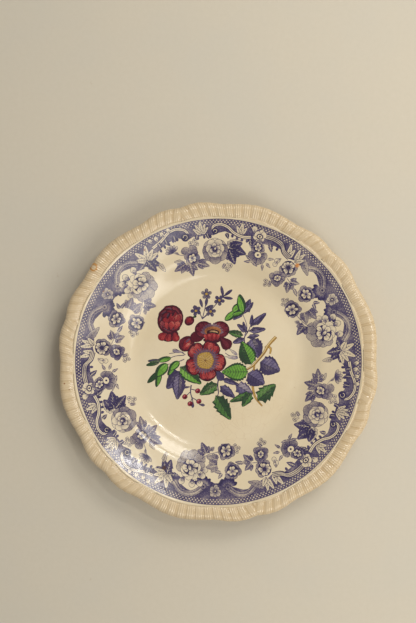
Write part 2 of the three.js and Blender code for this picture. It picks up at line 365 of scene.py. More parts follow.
def build_coat():
    """The glaze coat, with the depth of the gadroon's cuts kept at its points for the material's pooled glaze
    and painted shade in the grooves.
    """
    roll, cuts = roll_rings()
    face = face_rings() + bead_rings()
    coat = ring_solid("glaze_shell", face + roll + back_rings() + coat_lining())
    before = sum(len(one) for one in face)
    after = len(coat.data.vertices) - before - len(cuts)
    depths = [0.0] * before + cuts + [0.0] * after
    groove = coat.data.color_attributes.new("Groove", "FLOAT_COLOR", "POINT")
    groove.data.foreach_set("color", [c for cut in depths for c in (cut, cut, cut, 1.0)])
    return coat


def recess_lining():
    inside = FOOT_RADIUS - FOOT_WIDTH / 2
    return [plain_ring(360, inside - away, z) for away, z in RECESS_CLAY]


def build_body():
    """The earthenware, bare on the foot."""
    outside, inside = FOOT_RADIUS + FOOT_WIDTH / 2, FOOT_RADIUS - FOOT_WIDTH / 2
    foot = [plain_ring(360, outside + away, z) for away, z in FOOT_SIDE]
    foot += [plain_ring(360, inside - away, z) for away, z in reversed(FOOT_SIDE)]
    centre = [(0, 0, RECESS_HEIGHT + GLAZE)]
    return ring_solid("biscuit_body", list(reversed(coat_lining())) + foot + recess_lining() + [centre])


def build_underside():
    """The glaze inside the foot ring."""
    inside = FOOT_RADIUS - FOOT_WIDTH / 2
    skin = [plain_ring(360, inside - away, z) for away, z in RECESS_GLAZE]
    skin += [plain_ring(60, 30, RECESS_HEIGHT), [(0, 0, RECESS_HEIGHT)]]
    lining = [[(0, 0, RECESS_HEIGHT + GLAZE)]] + list(reversed(recess_lining()))
    return ring_solid("underside_glaze_skin", lining + skin)


# ---- Materials -------------------------------------------------------------------------------------------

CREAM = linear(226, 211, 181)
CREAM_PALE = linear(232, 218, 188)
CREAM_DEEP = linear(216, 196, 158)
CREAM_RIM = linear(206, 180, 140)
# Pooled glaze and painted shade in the grooves of the gadroon.
CREAM_POOLED_AND_SHADED = linear(180, 150, 104)
STAIN = linear(158, 104, 52)
RUST = linear(192, 134, 62)
BISCUIT = linear(206, 186, 150)
BISCUIT_DIRTY = linear(140, 116, 86)
FLOOR = linear(206, 197, 178)
FLOOR_LIGHT = linear(212, 203, 185)
FLOOR_CLOUD = linear(200, 196, 184)
FLOOR_SCUFF = linear(176, 150, 118)
INK = linear(71, 61, 103)
INK_DARK = linear(42, 36, 66)


class Nodes:
    """A short way to write a material's nodes."""

    def __init__(self, name):
        self.material = bpy.data.materials.new(name)
        self.material.use_nodes = True
        self.tree = self.material.node_tree
        self.shader = self.tree.nodes["Principled BSDF"]
        self.place = self.new("ShaderNodeTexCoord").outputs["Object"]

    def new(self, kind, **values):
        node = self.tree.nodes.new(kind)
        for key, value in values.items():
            setattr(node, key, value)
        return node

    def put(self, target, value):
        if isinstance(value, (int, float, tuple)):
            target.default_value = value
        else:
            self.tree.links.new(value, target)

    def shade(self, socket, value):
        self.put(self.shader.inputs[socket], value)

    def math(self, operation, first, second=0.0, clamp=False):
        node = self.new("ShaderNodeMath", operation=operation, use_clamp=clamp)
        self.put(node.inputs[0], first)
        self.put(node.inputs[1], second)
        return node.outputs[0]

    def times(self, first, second):
        return self.math("MULTIPLY", first, second)

    def ramp(self, value, low, high, start=0.0, end=1.0):
        node = self.new("ShaderNodeMapRange", interpolation_type="SMOOTHSTEP")
        self.put(node.inputs["Value"], value)
        for socket, number in (("From Min", low), ("From Max", high), ("To Min", start), ("To Max", end)):
            self.put(node.inputs[socket], number)
        return node.outputs[0]

    def noise(self, scale, detail=3.0, roughness=0.5):
        node = self.new("ShaderNodeTexNoise")
        self.put(node.inputs["Vector"], self.place)
        node.inputs["Scale"].default_value = scale
        node.inputs["Detail"].default_value = detail
        node.inputs["Roughness"].default_value = roughness
        return node.outputs["Fac"]

    def cells(self, scale, feature="F1"):
        node = self.new("ShaderNodeTexVoronoi", feature=feature)
        self.put(node.inputs["Vector"], self.place)
        node.inputs["Scale"].default_value = scale
        return node.outputs["Distance"]

    def mix(self, factor, first, second):
        node = self.new("ShaderNodeMix", data_type="RGBA")
        self.put(node.inputs[0], factor)
        self.put(node.inputs[6], first)
        self.put(node.inputs[7], second)
        return node.outputs[2]

    def bump(self, height, distance, strength=1.0, under=None):
        node = self.new("ShaderNodeBump")
        self.put(node.inputs["Height"], height)
        node.inputs["Distance"].default_value = distance
        node.inputs["Strength"].default_value = strength
        if under is not None:
            self.put(node.inputs["Normal"], under)
        return node.outputs["Normal"]

    def from_axis(self, x=0.0, y=0.0):
        """Distance from the plate's axis, or from an upright line through a point in millimetres."""
        flat = self.new("ShaderNodeVectorMath", operation="MULTIPLY")
        self.put(flat.inputs[0], self.place)
        flat.inputs[1].default_value = (1, 1, 0)
        node = self.new("ShaderNodeVectorMath", operation="DISTANCE")
        self.put(node.inputs[0], flat.outputs[0])
        node.inputs[1].default_value = (x * MM, y * MM, 0)
        return node.outputs["Value"]

    def near(self, x, y, radius, soft):
        """1 close to a spot on the plate, in millimetres from its middle, and 0 away from it."""
        return self.ramp(self.from_axis(x, y), radius * MM, (radius + soft) * MM, 1.0, 0.0)


def glaze_colour(nodes):
    """Cream glaze, yellowed in clouds and finely mottled."""
    clouds = nodes.ramp(nodes.noise(14, 4, 0.55), 0.3, 0.72)
    colour = nodes.mix(nodes.times(clouds, 0.55), CREAM, CREAM_DEEP)
    mottle = nodes.ramp(nodes.noise(170, 2, 0.6), 0.35, 0.7)
    return nodes.mix(nodes.times(mottle, 0.12), colour, CREAM_PALE)


# Kiln specks and rust spots: angle, distance from the middle and radius in millimetres, and colour.
SPOTS = [
    (50.6, 105.3, 1.7, linear(204, 132, 62)), (123.4, 113.0, 0.8, linear(150, 92, 70)),
    (148.5, 113.6, 0.7, linear(120, 74, 62)), (131.9, 132.8, 0.5, linear(120, 92, 58)),
    (243.0, 101.0, 1.7, linear(72, 42, 28)), (188.0, 130.6, 0.6, linear(140, 84, 44)),
    (190.5, 127.4, 0.5, linear(150, 104, 60)), (101.0, 131.0, 0.4, linear(130, 96, 60)),
]
STAIN_LOOP = (142.8, 131.6)  # angle and distance of a small rusty ring on the gadroon


def spotted(nodes, colour):
    ragged = nodes.ramp(nodes.noise(900, 3), 0.2, 0.55, 0.45, 1.0)
    for angle, radius, size, stain in SPOTS:
        spot = nodes.near(*polar(angle, radius), size * 0.5, size)
        colour = nodes.mix(nodes.times(spot, ragged), colour, stain)
    return colour


def glaze_surface(nodes, roughness=0.09):
    """The faint waves and pin marks of a dipped glaze."""
    waves = nodes.noise(32, 3, 0.5)
    peel = nodes.noise(420, 2, 0.5)
    nodes.shade("Normal", nodes.bump(peel, 0.00002, 0.6, nodes.bump(waves, 0.0008, 0.5)))
    nodes.shade("Roughness", nodes.ramp(nodes.noise(60, 4, 0.6), 0.3, 0.75, roughness, roughness + 0.1))
    nodes.shader.inputs["IOR"].default_value = 1.52


def glaze_material():
    nodes = Nodes("cream_glaze")
    # Glaze is deeper and yellower over the rolled edge.
    rim = nodes.ramp(nodes.from_axis(), 121.2 * MM, 123.2 * MM)
    colour = nodes.mix(nodes.times(rim, 0.6), glaze_colour(nodes), CREAM_RIM)
    # Darker where the gadroon is cut deeper: partly glaze that pools in the grooves, partly painted shade in
    # the hollows between the ribs.
    groove = nodes.new("ShaderNodeVertexColor", layer_name="Groove").outputs["Color"]
    deep = nodes.ramp(groove, 0.26, 0.85)
    pooled_and_shaded = nodes.times(deep, nodes.ramp(nodes.noise(24, 3), 0.25, 0.7, 0.35, 0.75))
    colour = nodes.mix(pooled_and_shaded, colour, CREAM_POOLED_AND_SHADED)
    # Crazing shows in patches, and so do pinholes.
    lines = nodes.ramp(nodes.cells(150, "DISTANCE_TO_EDGE"), 0.0, 0.03, 1.0, 0.0)
    crazed = nodes.times(lines, nodes.ramp(nodes.noise(9, 2), 0.45, 0.7))
    colour = nodes.mix(nodes.times(crazed, 0.16), colour, STAIN)
    pits = nodes.ramp(nodes.cells(210), 0.045, 0.085, 1.0, 0.0)
    pitted = nodes.times(pits, nodes.ramp(nodes.noise(40, 2), 0.6, 0.66))
    colour = nodes.mix(nodes.times(pitted, 0.5), colour, STAIN)
    x, y = polar(*STAIN_LOOP)
    loop = nodes.math("SUBTRACT", nodes.near(x, y, 3.0, 1.0), nodes.near(x, y, 1.4, 1.2), clamp=True)
    uneven = nodes.ramp(nodes.noise(500, 2), 0.2, 0.5)
    colour = nodes.mix(nodes.times(loop, uneven), colour, RUST)
    nodes.shade("Base Color", spotted(nodes, colour))
    glaze_surface(nodes)
    return nodes.material


def biscuit_material():
    nodes = Nodes("bare_biscuit")
    grain = nodes.noise(900, 4, 0.7)
    dirt = nodes.ramp(nodes.noise(45, 4, 0.6), 0.4, 0.7)
    colour = nodes.mix(nodes.times(dirt, 0.7), BISCUIT, BISCUIT_DIRTY)
    nodes.shade("Base Color", nodes.mix(nodes.times(grain, 0.3), colour, BISCUIT))
    nodes.shade("Roughness", nodes.ramp(grain, 0.3, 0.7, 0.6, 0.85))
    nodes.shade("Normal", nodes.bump(grain, 0.0001, 0.7))
    return nodes.material


def floor_material():
    nodes = Nodes("pale_floor")
    colour = nodes.mix(nodes.noise(260, 4, 0.6), FLOOR, FLOOR_LIGHT)
    clouds = nodes.ramp(nodes.noise(7, 4, 0.6), 0.35, 0.7, 0.0, 0.35)
    colour = nodes.mix(clouds, colour, FLOOR_CLOUD)
    marks = nodes.ramp(nodes.noise(60, 5, 0.7), 0.66, 0.74)
    scuffs = nodes.times(marks, nodes.ramp(nodes.noise(11, 2), 0.5, 0.6))
    nodes.shade("Base Color", nodes.mix(nodes.times(scuffs, 0.3), colour, FLOOR_SCUFF))
    nodes.shader.inputs["Roughness"].default_value = 0.85
    nodes.shader.inputs["Specular IOR Level"].default_value = 0.2
    return nodes.material


# ---- Drawing the printed and painted films ---------------------------------------------------------------
# A Drawing is a heap of flat outlines in millimetres. Where they overlap, the last one laid is the one seen.
# The heap is cut into one flat net of triangles, which is then laid on the glaze as a thin closed film.


class Shape:
    """An outline with its pigment. Cover is how much pigment there is at the shape's base and at its tip."""

    def __init__(self, outline, pigment, base, tip, hatch, axis, film):
        self.outline = outline
        self.pigment = pigment
        self.base = base
        self.tip = tip
        self.hatch = hatch
        self.film = film
        (self.x, self.y), angle, self.length = axis
        self.along = direction(angle)

    def local(self, x, y):
        """How far along the shape a point is, as a share of its length, and how far across it."""
        dx, dy = x - self.x, y - self.y
        forward = (dx * self.along[0] + dy * self.along[1]) / self.length
        return forward, dy * self.along[0] - dx * self.along[1]


def runs_left(outline):
    """Whether an outline runs counterclockwise."""
    return sum(a[0] * b[1] - b[0] * a[1] for a, b in zip(outline, outline[1:] + outline[:1])) > 0


def swollen(outline, margin):
    """The outline moved outwards by a margin, all round."""
    side = margin if runs_left(outline) else -margin
    out = []
    for i, (x, y) in enumerate(outline):
        (ax, ay), (bx, by) = outline[i - 1], outline[(i + 1) % len(outline)]
        length = math.hypot(bx - ax, by - ay) or 1.0
        out.append((x + side * (by - ay) / length, y - side * (bx - ax) / length))
    return out


class Drawing:
    """A heap of shapes. Each belongs to the film that is being drawn, where there are several."""

    def __init__(self, line_pigment):
        self.shapes = []
        self.line_pigment = line_pigment
        self.film = None

    def lay(self, outline, pigment, base, tip, hatch=0.0, axis=((0, 0), 0, 1), line=0.0, line_cover=0.9):
        """Lays a shape. A line wider than 0 leaves a dark edge of that width round it."""
        if line > 0:
            edge = swollen(outline, line)
            self.shapes.append(Shape(edge, self.line_pigment, line_cover, line_cover, 0, axis, self.film))
        self.shapes.append(Shape(outline, pigment, base, tip, hatch, axis, self.film))


def petal_outline(x, y, heading, length, width, blunt=1.6, full=0.62, points=9):
    """A petal from its base at x, y. A larger blunt puts its widest part nearer the tip."""
    cos, sin = direction(heading)
    outline = []
    for side in (1, -1):
        for i in range(points):
            t = 0.5 - 0.5 * math.cos(math.pi * i / points)
            t = t if side > 0 else 1 - t
            half = side * width / 2 * math.sin(math.pi * t**blunt) ** full
            reach = t * length
            outline.append((x + reach * cos - half * sin, y + reach * sin + half * cos))
    return outline


def partway(start, end, share):
    return start[0] + share * (end[0] - start[0]), start[1] + share * (end[1] - start[1])


def leaf_sides(x, y, heading, length, width, teeth=5, bite=0.22, bend=0.0):
    """The rib of a pointed leaf and its two toothed edges, from its stalk at x, y. Bend curves the rib."""
    edge = {1: [], -1: []}
    rib = [(x, y, heading)]
    slices = max(teeth, 3) * 2
    step = length / slices
    for _ in range(slices):
        px, py, turn = rib[-1]
        turn += bend / slices
        rib.append((*ahead(px, py, turn, step), turn))
    for i, (px, py, turn) in enumerate(rib[1:-1], start=1):
        t = i / slices
        half = width / 2 * math.sin(math.pi * t**0.72) ** 0.85
        lean = -0.5 * step if i % 2 else 0.35 * step
        half *= 1 - bite if i % 2 else 1.0
        cos, sin = direction(turn)
        for side in (1, -1):
            edge[side].append((px - lean * cos - side * half * sin, py - lean * sin + side * half * cos))
    return [p[:2] for p in rib], edge[1], edge[-1]


def leaf_outline(*place, **form):
    rib, left, right = leaf_sides(*place, **form)
    return [rib[0]] + right + [rib[-1]] + left[::-1]


def oval_outline(x, y, long_radius, short_radius, heading, points):
    cos, sin = direction(heading)
    out = []
    for i in range(points):
        u = long_radius * math.cos(2 * math.pi * i / points)
        v = short_radius * math.sin(2 * math.pi * i / points)
        out.append((x + u * cos - v * sin, y + u * sin + v * cos))
    return out


def ribbon_outline(route, width_at):
    """A band along a route. width_at gives its width from the start, 0, to the end, 1."""
    left, right = [], []
    for i, (x, y) in enumerate(route):
        ax, ay = route[max(i - 1, 0)]
        bx, by = route[min(i + 1, len(route) - 1)]
        length = math.hypot(bx - ax, by - ay) or 1.0
        half = width_at(i / (len(route) - 1)) / 2
        nx, ny = -(by - ay) / length * half, (bx - ax) / length * half
        left.append((x + nx, y + ny))
        right.append((x - nx, y - ny))
    return left + right[::-1]


def cut_net(shapes, fence=None, support=()):
    """One net of triangles for a heap of shapes: points, and for each triangle the shape on top of it.

    The net stays inside the fence, where there is one. Support points keep its triangles small."""
    points = []
    loops = []
    for outline in ([fence] if fence else []) + [shape.outline for shape in shapes]:
        outline = outline if runs_left(outline) else outline[::-1]
        loops.append(list(range(len(points), len(points) + len(outline))))
        points += [Vector(p) for p in outline]
    points += [Vector(p) for p in support]
    net_points, _, triangles, _, _, owners = delaunay_2d_cdt(points, [], loops, 1, 1e-4, True)
    first = 1 if fence else 0
    kept = []
    for triangle, owner in zip(triangles, owners):
        if not owner or (fence and 0 not in owner):
            continue
        on_top = max(owner) - first
        if on_top >= 0:
            kept.append((triangle, shapes[on_top]))
    return [(p.x, p.y) for p in net_points], kept


# How much of the baked sheet the seen side of a film takes, and from where. Then the same for the rest of it.
SEEN_PLAN = (0.96, 0.03)
HIDDEN_PLAN = (0.012, 0.006)


def film_piece(name, points, kept, thickness):
    """A thin closed film over the glaze, with each corner's place in its shape kept for the material."""
    used = sorted({i for triangle, _ in kept for i in triangle})
    number = {i: k for k, i in enumerate(used)}
    count = len(used)
    top = [(*points[i], face_height(math.hypot(*points[i])) + thickness) for i in used]
    bottom = [(x, y, z - thickness - FILM_ROOT) for x, y, z in top]
    faces, owners = [], []
    edges = {}
    for triangle, shape in kept:
        a, b, c = (number[i] for i in triangle)
        faces.append((a, b, c))
        owners.append(shape)
        for edge in ((a, b), (b, c), (c, a)):
            edges[edge] = shape
    rim = [(edge, shape) for edge, shape in edges.items() if (edge[1], edge[0]) not in edges]
    faces += [(c + count, b + count, a + count) for a, b, c in faces[: len(kept)]]
    faces += [(b, a, a + count, b + count) for (a, b), _ in rim]
    owners += [shape for _, shape in kept] + [shape for _, shape in rim]

    mesh = bpy.data.meshes.new(name)
    mesh.from_pydata([(x * MM, y * MM, z * MM) for x, y, z in top + bottom], [], faces)
    mesh.color_attributes.new("Pigment", "FLOAT_COLOR", "CORNER")
    mesh.color_attributes.new("Cover", "FLOAT_COLOR", "CORNER")
    mesh.uv_layers.new(name="Local")
    mesh.uv_layers.new(name="OFBake")
    colours, covers, places, plan = [], [], [], []
    xs, ys = [p[0] for p in top], [p[1] for p in top]
    low_x, low_y = min(xs), min(ys)
    span = max(max(xs) - low_x, max(ys) - low_y)
    for face, shape in zip(mesh.polygons, owners):
        share, shift = SEEN_PLAN if face.index < len(kept) else HIDDEN_PLAN
        for vertex in face.vertices:
            x, y = top[vertex % count][:2]
            colours += [*shape.pigment[:3], 1]
            covers += [shape.base, shape.tip, shape.hatch, 1]
            places += shape.local(x, y)
            plan += [shift + share * (x - low_x) / span, shift + share * (y - low_y) / span]
    mesh.color_attributes["Pigment"].data.foreach_set("color", colours)
    mesh.color_attributes["Cover"].data.foreach_set("color", covers)
    mesh.uv_layers["Local"].data.foreach_set("uv", places)
    mesh.uv_layers["OFBake"].data.foreach_set("uv", plan)
    piece = bpy.data.objects.new(name, mesh)
    bpy.context.scene.collection.objects.link(piece)
    return piece


def paint_material(name, roughness, hatch_pitch, hatch_pigment, raised=False, full=0.62):
    """Pigment over cream glaze. Hatching runs along each shape, and shows most where cover is deep."""
    nodes = Nodes(name)
    pigment = nodes.new("ShaderNodeVertexColor", layer_name="Pigment").outputs["Color"]
    cover = nodes.new("ShaderNodeSeparateColor")
    nodes.put(cover.inputs[0], nodes.new("ShaderNodeVertexColor", layer_name="Cover").outputs["Color"])
    base, tip, hatch = cover.outputs["Red"], cover.outputs["Green"], cover.outputs["Blue"]
    place = nodes.new("ShaderNodeSeparateXYZ")
    nodes.put(place.inputs[0], nodes.new("ShaderNodeUVMap", uv_map="Local").outputs["UV"])

    rise = nodes.ramp(place.outputs["X"], 0.0, 1.0)
    amount = nodes.math("ADD", base, nodes.times(nodes.math("SUBTRACT", tip, base), rise))
    wobble = nodes.times(nodes.noise(700, 2), 2.2)
    wave = nodes.math("ADD", nodes.times(place.outputs["Y"], 2 * math.pi / hatch_pitch), wobble)
    hatching = nodes.times(nodes.math("SINE", wave), hatch)
    amount = nodes.math("ADD", amount, nodes.times(hatching, 0.32))
    patchy = nodes.ramp(nodes.noise(90, 4, 0.6), 0.25, 0.75, -UNEVEN, UNEVEN)
    worn = nodes.ramp(nodes.noise(1100, 2, 0.6), 0.3, 0.7, -0.6 * UNEVEN, 0.6 * UNEVEN)
    uneven = nodes.times(nodes.math("ADD", patchy, worn), nodes.ramp(amount, 0.0, 0.25))
    amount = nodes.math("ADD", amount, uneven, clamp=True)

    dark = nodes.mix(nodes.ramp(amount, 0.72, 1.0, 0.0, 0.75), pigment, hatch_pigment)
    colour = nodes.mix(nodes.ramp(amount, 0.0, full), glaze_colour(nodes), dark)
    nodes.shade("Base Color", spotted(nodes, colour) if name == "violet_transfer" else colour)
    glaze_surface(nodes, roughness)
    if raised:
        even = nodes.shader.inputs["Normal"].links[0].from_socket
        nodes.shade("Normal", nodes.bump(amount, 0.00012, 0.5, even))
    return nodes.material


# ---- The printed border ----------------------------------------------------------------------------------
# One paper of the border is drawn in degrees round the plate and millimetres from its middle, and every paper
# is a turned copy of it. Headings are local: 0 points onwards round the plate and 90 points outwards.

LINE = 0.32  # the engraver's outline
PALE, LIGHT, MID, DEEP, FULL = 0.05, 0.3, 0.55, 0.8, 1.0


class Border(Drawing):
    def at(self, angle, radius, heading=0.0):
        """A place on the paper, with a local heading as it is on the plate."""
        return *polar(angle, radius), angle + 90 - heading

    def engrave(self, x, y, turn, length, width):
        """Fine tapered lines fanning out from a petal's base."""
        spread = math.degrees(math.atan2(width * 0.5, length)) * 0.62
        for share, reach in ((-0.9, 0.6), (0, 0.74), (0.9, 0.62)):
            ends = [ahead(x, y, turn + spread * share, t * length) for t in (0.1, reach)]
            self.lay(ribbon_outline(ends, lambda t: 0.38 * (1 - 0.8 * t)), INK, 0.85, 0.7)

    def petal(self, angle, radius, heading, length, width, base, tip, hatch=0.5, line=LINE, **form):
        x, y, turn = self.at(angle, radius, heading)
        outline = petal_outline(x, y, turn, length, width, points=7, **form)
        self.lay(outline, INK, base, tip, hatch, ((x, y), turn, length), line)
        self.engrave(x, y, turn, length, width)

    def ring_of_petals(self, angle, radius, reach, count, width, base, tip, first=90.0, start=0.0, blunt=1.8):
        """Petals round a point, each from start to reach millimetres out, no two quite alike."""
        for i in range(count):
            heading = first + 360 * i / count + 9 * math.sin(2.7 * i + angle)
            x, y, turn = self.at(angle, radius, heading)
            x, y = ahead(x, y, turn, start)
            length = (reach - start) * (1 + 0.13 * math.sin(4.1 * i + angle))
            broad = width * (1 + 0.15 * math.sin(3.3 * i + radius))
            outline = petal_outline(x, y, turn, length, broad, blunt, points=7 if reach > 2 else 5)
            self.lay(outline, INK, base, tip, 0.5, ((x, y), turn, length), LINE)
            if length > 2.5:
                self.engrave(x, y, turn, length, width)

    def leaf(self, angle, radius, heading, length, width, tone=DEEP, line=0.0, **form):
        x, y, turn = self.at(angle, radius, heading)
        outline = leaf_outline(x, y, turn, length, width, **form)
        self.lay(outline, INK, tone, tone * 0.8, 0.35, ((x, y), turn, length), line)
        self.veins(x, y, turn, length * 0.86, LIGHT if tone > MID else FULL)

    def veins(self, x, y, turn, length, shade):
        route = [ahead(x, y, turn, t * length) for t in (0, 0.5, 1)]
        self.lay(ribbon_outline(route, lambda t: 0.42 * (1 - 0.6 * t)), INK, shade, shade)
        for t in (0.22, 0.45, 0.66):
            root = ahead(x, y, turn, t * length)
            for side in (-38, 38):
                ends = [root, ahead(*root, turn + side, length * 0.24 * (1.2 - t))]
                self.lay(ribbon_outline(ends, lambda t: 0.3 * (1 - 0.6 * t)), INK, shade, shade)

    def disc(self, angle, radius, size, tone, squash=1.0, line=0.0):
        x, y, turn = self.at(angle, radius)
        outline = oval_outline(x, y, size, size * squash, turn, 14 if size > 1.5 else 8)
        self.lay(outline, INK, tone, tone, 0.0, ((x, y), turn, size), line)

    def stroke(self, route, width, tone, line=0.0, hatch=0.0, taper=0.0):
        points = spline([polar(a, r) for a, r in route], 5)
        outline = ribbon_outline(points, lambda t: width * (1 - taper * t))
        x, y, turn, length = between(points[0], points[-1])
        self.lay(outline, INK, tone, tone, hatch, ((x, y), turn, length), line)


def lattice(border):
    """Three rows of small clear dots round the outside, on solid ink."""
    dots = 90
    pitch = BORDER_TURN / dots
    for row, (radius, size) in enumerate(((119.4, 0.5), (117.9, 0.64), (116.4, 0.5))):
        for i in range(dots):
            border.disc((i + 0.5 * (row % 2)) * pitch, radius, size, 0.2, squash=0.84)


# Where small dark drops hang from the ground between the scrolls.
DROPS = (
    2.2, 12.4, 31.2, 33.2, 62.4, 65.2, 76.6, 79, 81.4, 83.6, 93.6, 96.4, 99.4, 108.6, 110.6, 112.8, 115,
    117.4,
)


def edge_radius(edge, angle):
    """The radius of the ground's inner edge at an angle."""
    for (a0, r0), (a1, r1) in zip(edge, edge[1:]):
        if a0 <= angle <= a1:
            return r0 + (r1 - r0) * (angle - a0) / (a1 - a0)
    return edge[-1][1]


def shadow_ground(border):
    """Solid ink behind the scrolls, with a cut inner edge."""
    edge = [
        (0, 103.5), (4, 102), (7.5, 103), (10, 101), (11.6, 104), (13, 108), (16, 110.5), (19, 111.5),
        (22, 108), (24.6, 103.5), (26.4, 102), (28.5, 103), (30.6, 103), (33, 103.5), (36, 106), (38.6, 108),
        (41, 110), (44, 110.5), (47, 108), (50, 106.5), (53, 107), (55.6, 105.4), (58, 105), (61, 108.5),
        (64, 108.5), (67.5, 107), (70, 106), (73.5, 104.5), (77, 106.4), (81, 105.8), (84, 108.5),
        (87, 110.2), (89.6, 109), (92, 107), (95.5, 107.5), (98.6, 106.8), (101.4, 107.6), (104.4, 105.4),
        (107, 108.5), (109.6, 111), (111.4, 109.2), (114, 108.4), (116.4, 107.4), (118.4, 106), (120, 103.5),
    ]
    for angle in DROPS:
        border.petal(angle, edge_radius(edge, angle) + 1.4, -90, 4.2, 2.3, FULL, DEEP, 0.2, 0.0)
    ground = [(a, BORDER_OUTER) for a in range(0, 121, 2)] + edge[::-1]
    border.lay([polar(a, r) for a, r in ground], INK, 0.76, 0.76, 0.5, ((0, 0), 37, 300))


def strap_scroll(border, side, start, crest, end, fingers):
    """A broad hatched strap that rises, falls and opens in a fan of dark fingers."""
    rise = ((start[0] + crest[0]) / 2, crest[1] - 1.2)
    fall = ((crest[0] + end[0]) / 2, crest[1] - 2)
    route = [start, rise, crest, fall, end]
    border.stroke(route, 4.4, MID, LINE, 0.6)
    border.stroke([(a, r + 0.5) for a, r in route], 0.5, LIGHT)
    border.stroke([(a, r - 1.0) for a, r in route], 0.45, DEEP)
    angle, radius = end
    for i in range(fingers):
        heading = -90 - side * 62 + side * 128 * i / (fingers - 1)
        border.petal(angle, radius, heading, 8.6, 2.9, PALE, FULL, 0.0, blunt=2.4, full=0.75)
    border.disc(angle, radius, 2.1, MID, line=LINE)
    border.disc(angle, radius, 0.9, FULL)


def trefoil(border, angle, radius, heading, length, width, tone=DEEP, spread=42, **form):
    """A dark leaf of three lobes."""
    for side, share in ((-1, 0.78), (1, 0.66), (0, 1.0)):
        broad = width * (0.6 + 0.4 * share)
        border.leaf(angle, radius, heading + side * spread, length * share, broad, tone, **form)


def floret(border, angle, radius, reach):
    border.ring_of_petals(angle, radius, reach, 8, reach * 0.72, MID, LIGHT)
    border.disc(angle, radius, reach * 0.3, FULL)
    border.disc(angle, radius, reach * 0.12, PALE)


def acanthus(border, angle, radius, lobes):
    """A spread of pale pointed lobes from one root. Each lobe is its heading, length and width."""
    for heading, length, width in lobes:
        border.leaf(angle, radius, heading, length, width, tone=0.16, line=LINE, teeth=3, bite=0.16)


def peony(border, angle, radius):
    """A full flower: a skirt of hatched petals, a ring of clear ones and a dark heart."""
    for heading, length, width in (
        (200, 13, 9), (172, 12.5, 8), (232, 15, 10), (268, 15, 10), (302, 15, 10), (336, 12, 8),
    ):
        border.petal(angle + 0.4, radius + 0.5, heading, length, width, DEEP, 0.42, 0.9, blunt=1.9)
    for heading, length in ((20, 11.5), (52, 13), (84, 12.5), (118, 11), (148, 10), (-10, 10.5)):
        border.petal(angle, radius, heading, length * 0.86, 7.2, MID, PALE, 0.5, blunt=1.9)
    border.disc(angle, radius, 6.8, FULL)
    border.ring_of_petals(angle, radius, 6.6, 7, 4.2, LIGHT, PALE, 20, 1.2)
    border.disc(angle - 0.3, radius, 2.7, FULL)
    border.petal(angle - 1.0, radius - 1.5, 60, 4.6, 2.4, LIGHT, PALE, 0.2)


def rose(border, angle, radius, reach):
    """A cabbage rose, its lower petals in shade and the upper ones clear, rolled round a dark heart."""
    for heading, share, tone in (
        (150, 0.9, LIGHT), (25, 0.92, LIGHT), (90, 0.86, PALE), (185, 1.0, MID), (-12, 0.98, MID),
        (222, 1.06, MID), (318, 1.04, MID), (270, 1.1, MID),
    ):
        border.petal(angle, radius, heading, reach * share, reach * 0.9, FULL, tone, 0.9, blunt=1.9)
    for heading, share, tone in (
        (60, 0.84, PALE), (120, 0.84, PALE), (10, 0.72, PALE), (170, 0.72, PALE), (230, 0.66, LIGHT),
        (310, 0.66, LIGHT), (270, 0.6, PALE),
    ):
        border.petal(angle, radius, heading, reach * share, reach * 0.62, DEEP, tone, 0.6, blunt=1.8)
    border.disc(angle, radius, reach * 0.38, FULL)
    for heading, share in ((80, 0.5), (150, 0.42), (215, 0.4), (280, 0.4), (345, 0.42)):
        border.petal(angle, radius, heading, reach * share, reach * 0.34, FULL, PALE, 0.4, blunt=1.6)
    border.disc(angle + 0.2, radius - 0.2, reach * 0.17, FULL)
    border.petal(angle + 0.6, radius - 1, 120, reach * 0.28, reach * 0.14, LIGHT, PALE, 0.2)


def daisy(border, angle, radius, reach):
    """A ring of narrow clear petals over broad shaded ones."""
    for heading in (150, 190, 230, 270, 310):
        border.petal(angle, radius, heading, reach * 1.25, reach * 0.95, DEEP, MID, 0.9, blunt=1.8)
    border.disc(angle, radius, reach * 0.95, FULL)
    border.ring_of_petals(angle, radius, reach * 0.84, 9, reach * 0.44, LIGHT, PALE, start=reach * 0.2)
    border.disc(angle, radius, reach * 0.26, FULL)


def shaded_flower(border, angle, radius, reach, petals=8, heart=0.5):
    """A round flower, dark towards the middle, with a clear patch and a stippled heart."""
    border.ring_of_petals(angle, radius, reach, petals, reach * 0.8, FULL, MID, 77, blunt=1.9)
    border.disc(angle, radius, reach * (heart + 0.12), FULL)
    border.ring_of_petals(angle, radius, reach * heart, 6, reach * 0.36, LIGHT, PALE, 60, blunt=1.7)
    border.disc(angle, radius, reach * 0.14, DEEP)


def pale_sprig(border, angle, radius, size, heading):
    """A little clear floret on a forked stalk."""
    for turn, away in ((-34, 1.0), (12, 1.5), (52, 1.1)):
        onwards, outwards = polar(heading + turn, size * 2.3 * away)
        end = (angle + math.degrees(onwards / radius), radius + outwards)
        border.stroke([(angle, radius), end], 0.4, MID)
        border.ring_of_petals(*end, size, 5, size * 0.9, LIGHT, PALE, heading)
        border.disc(*end, size * 0.25, DEEP)


def curl_scroll(border, route, curl, size):
    """A pale piped scroll that ends in a tight dark curl."""
    border.stroke(route, 3.4, FULL, taper=0.1)
    border.stroke(route, 2.2, PALE, hatch=0.2, taper=0.2)
    border.stroke(route, 0.4, DEEP)
    border.disc(*curl, size * 1.15, FULL)
    across = math.degrees(size / curl[1])
    turns = [math.radians(40 * i) for i in range(8)]
    inner = [(curl[0] + 0.56 * across * math.cos(t), curl[1] + 0.56 * size * math.sin(t)) for t in turns]
    border.stroke(inner, 0.5, PALE, taper=0.5)


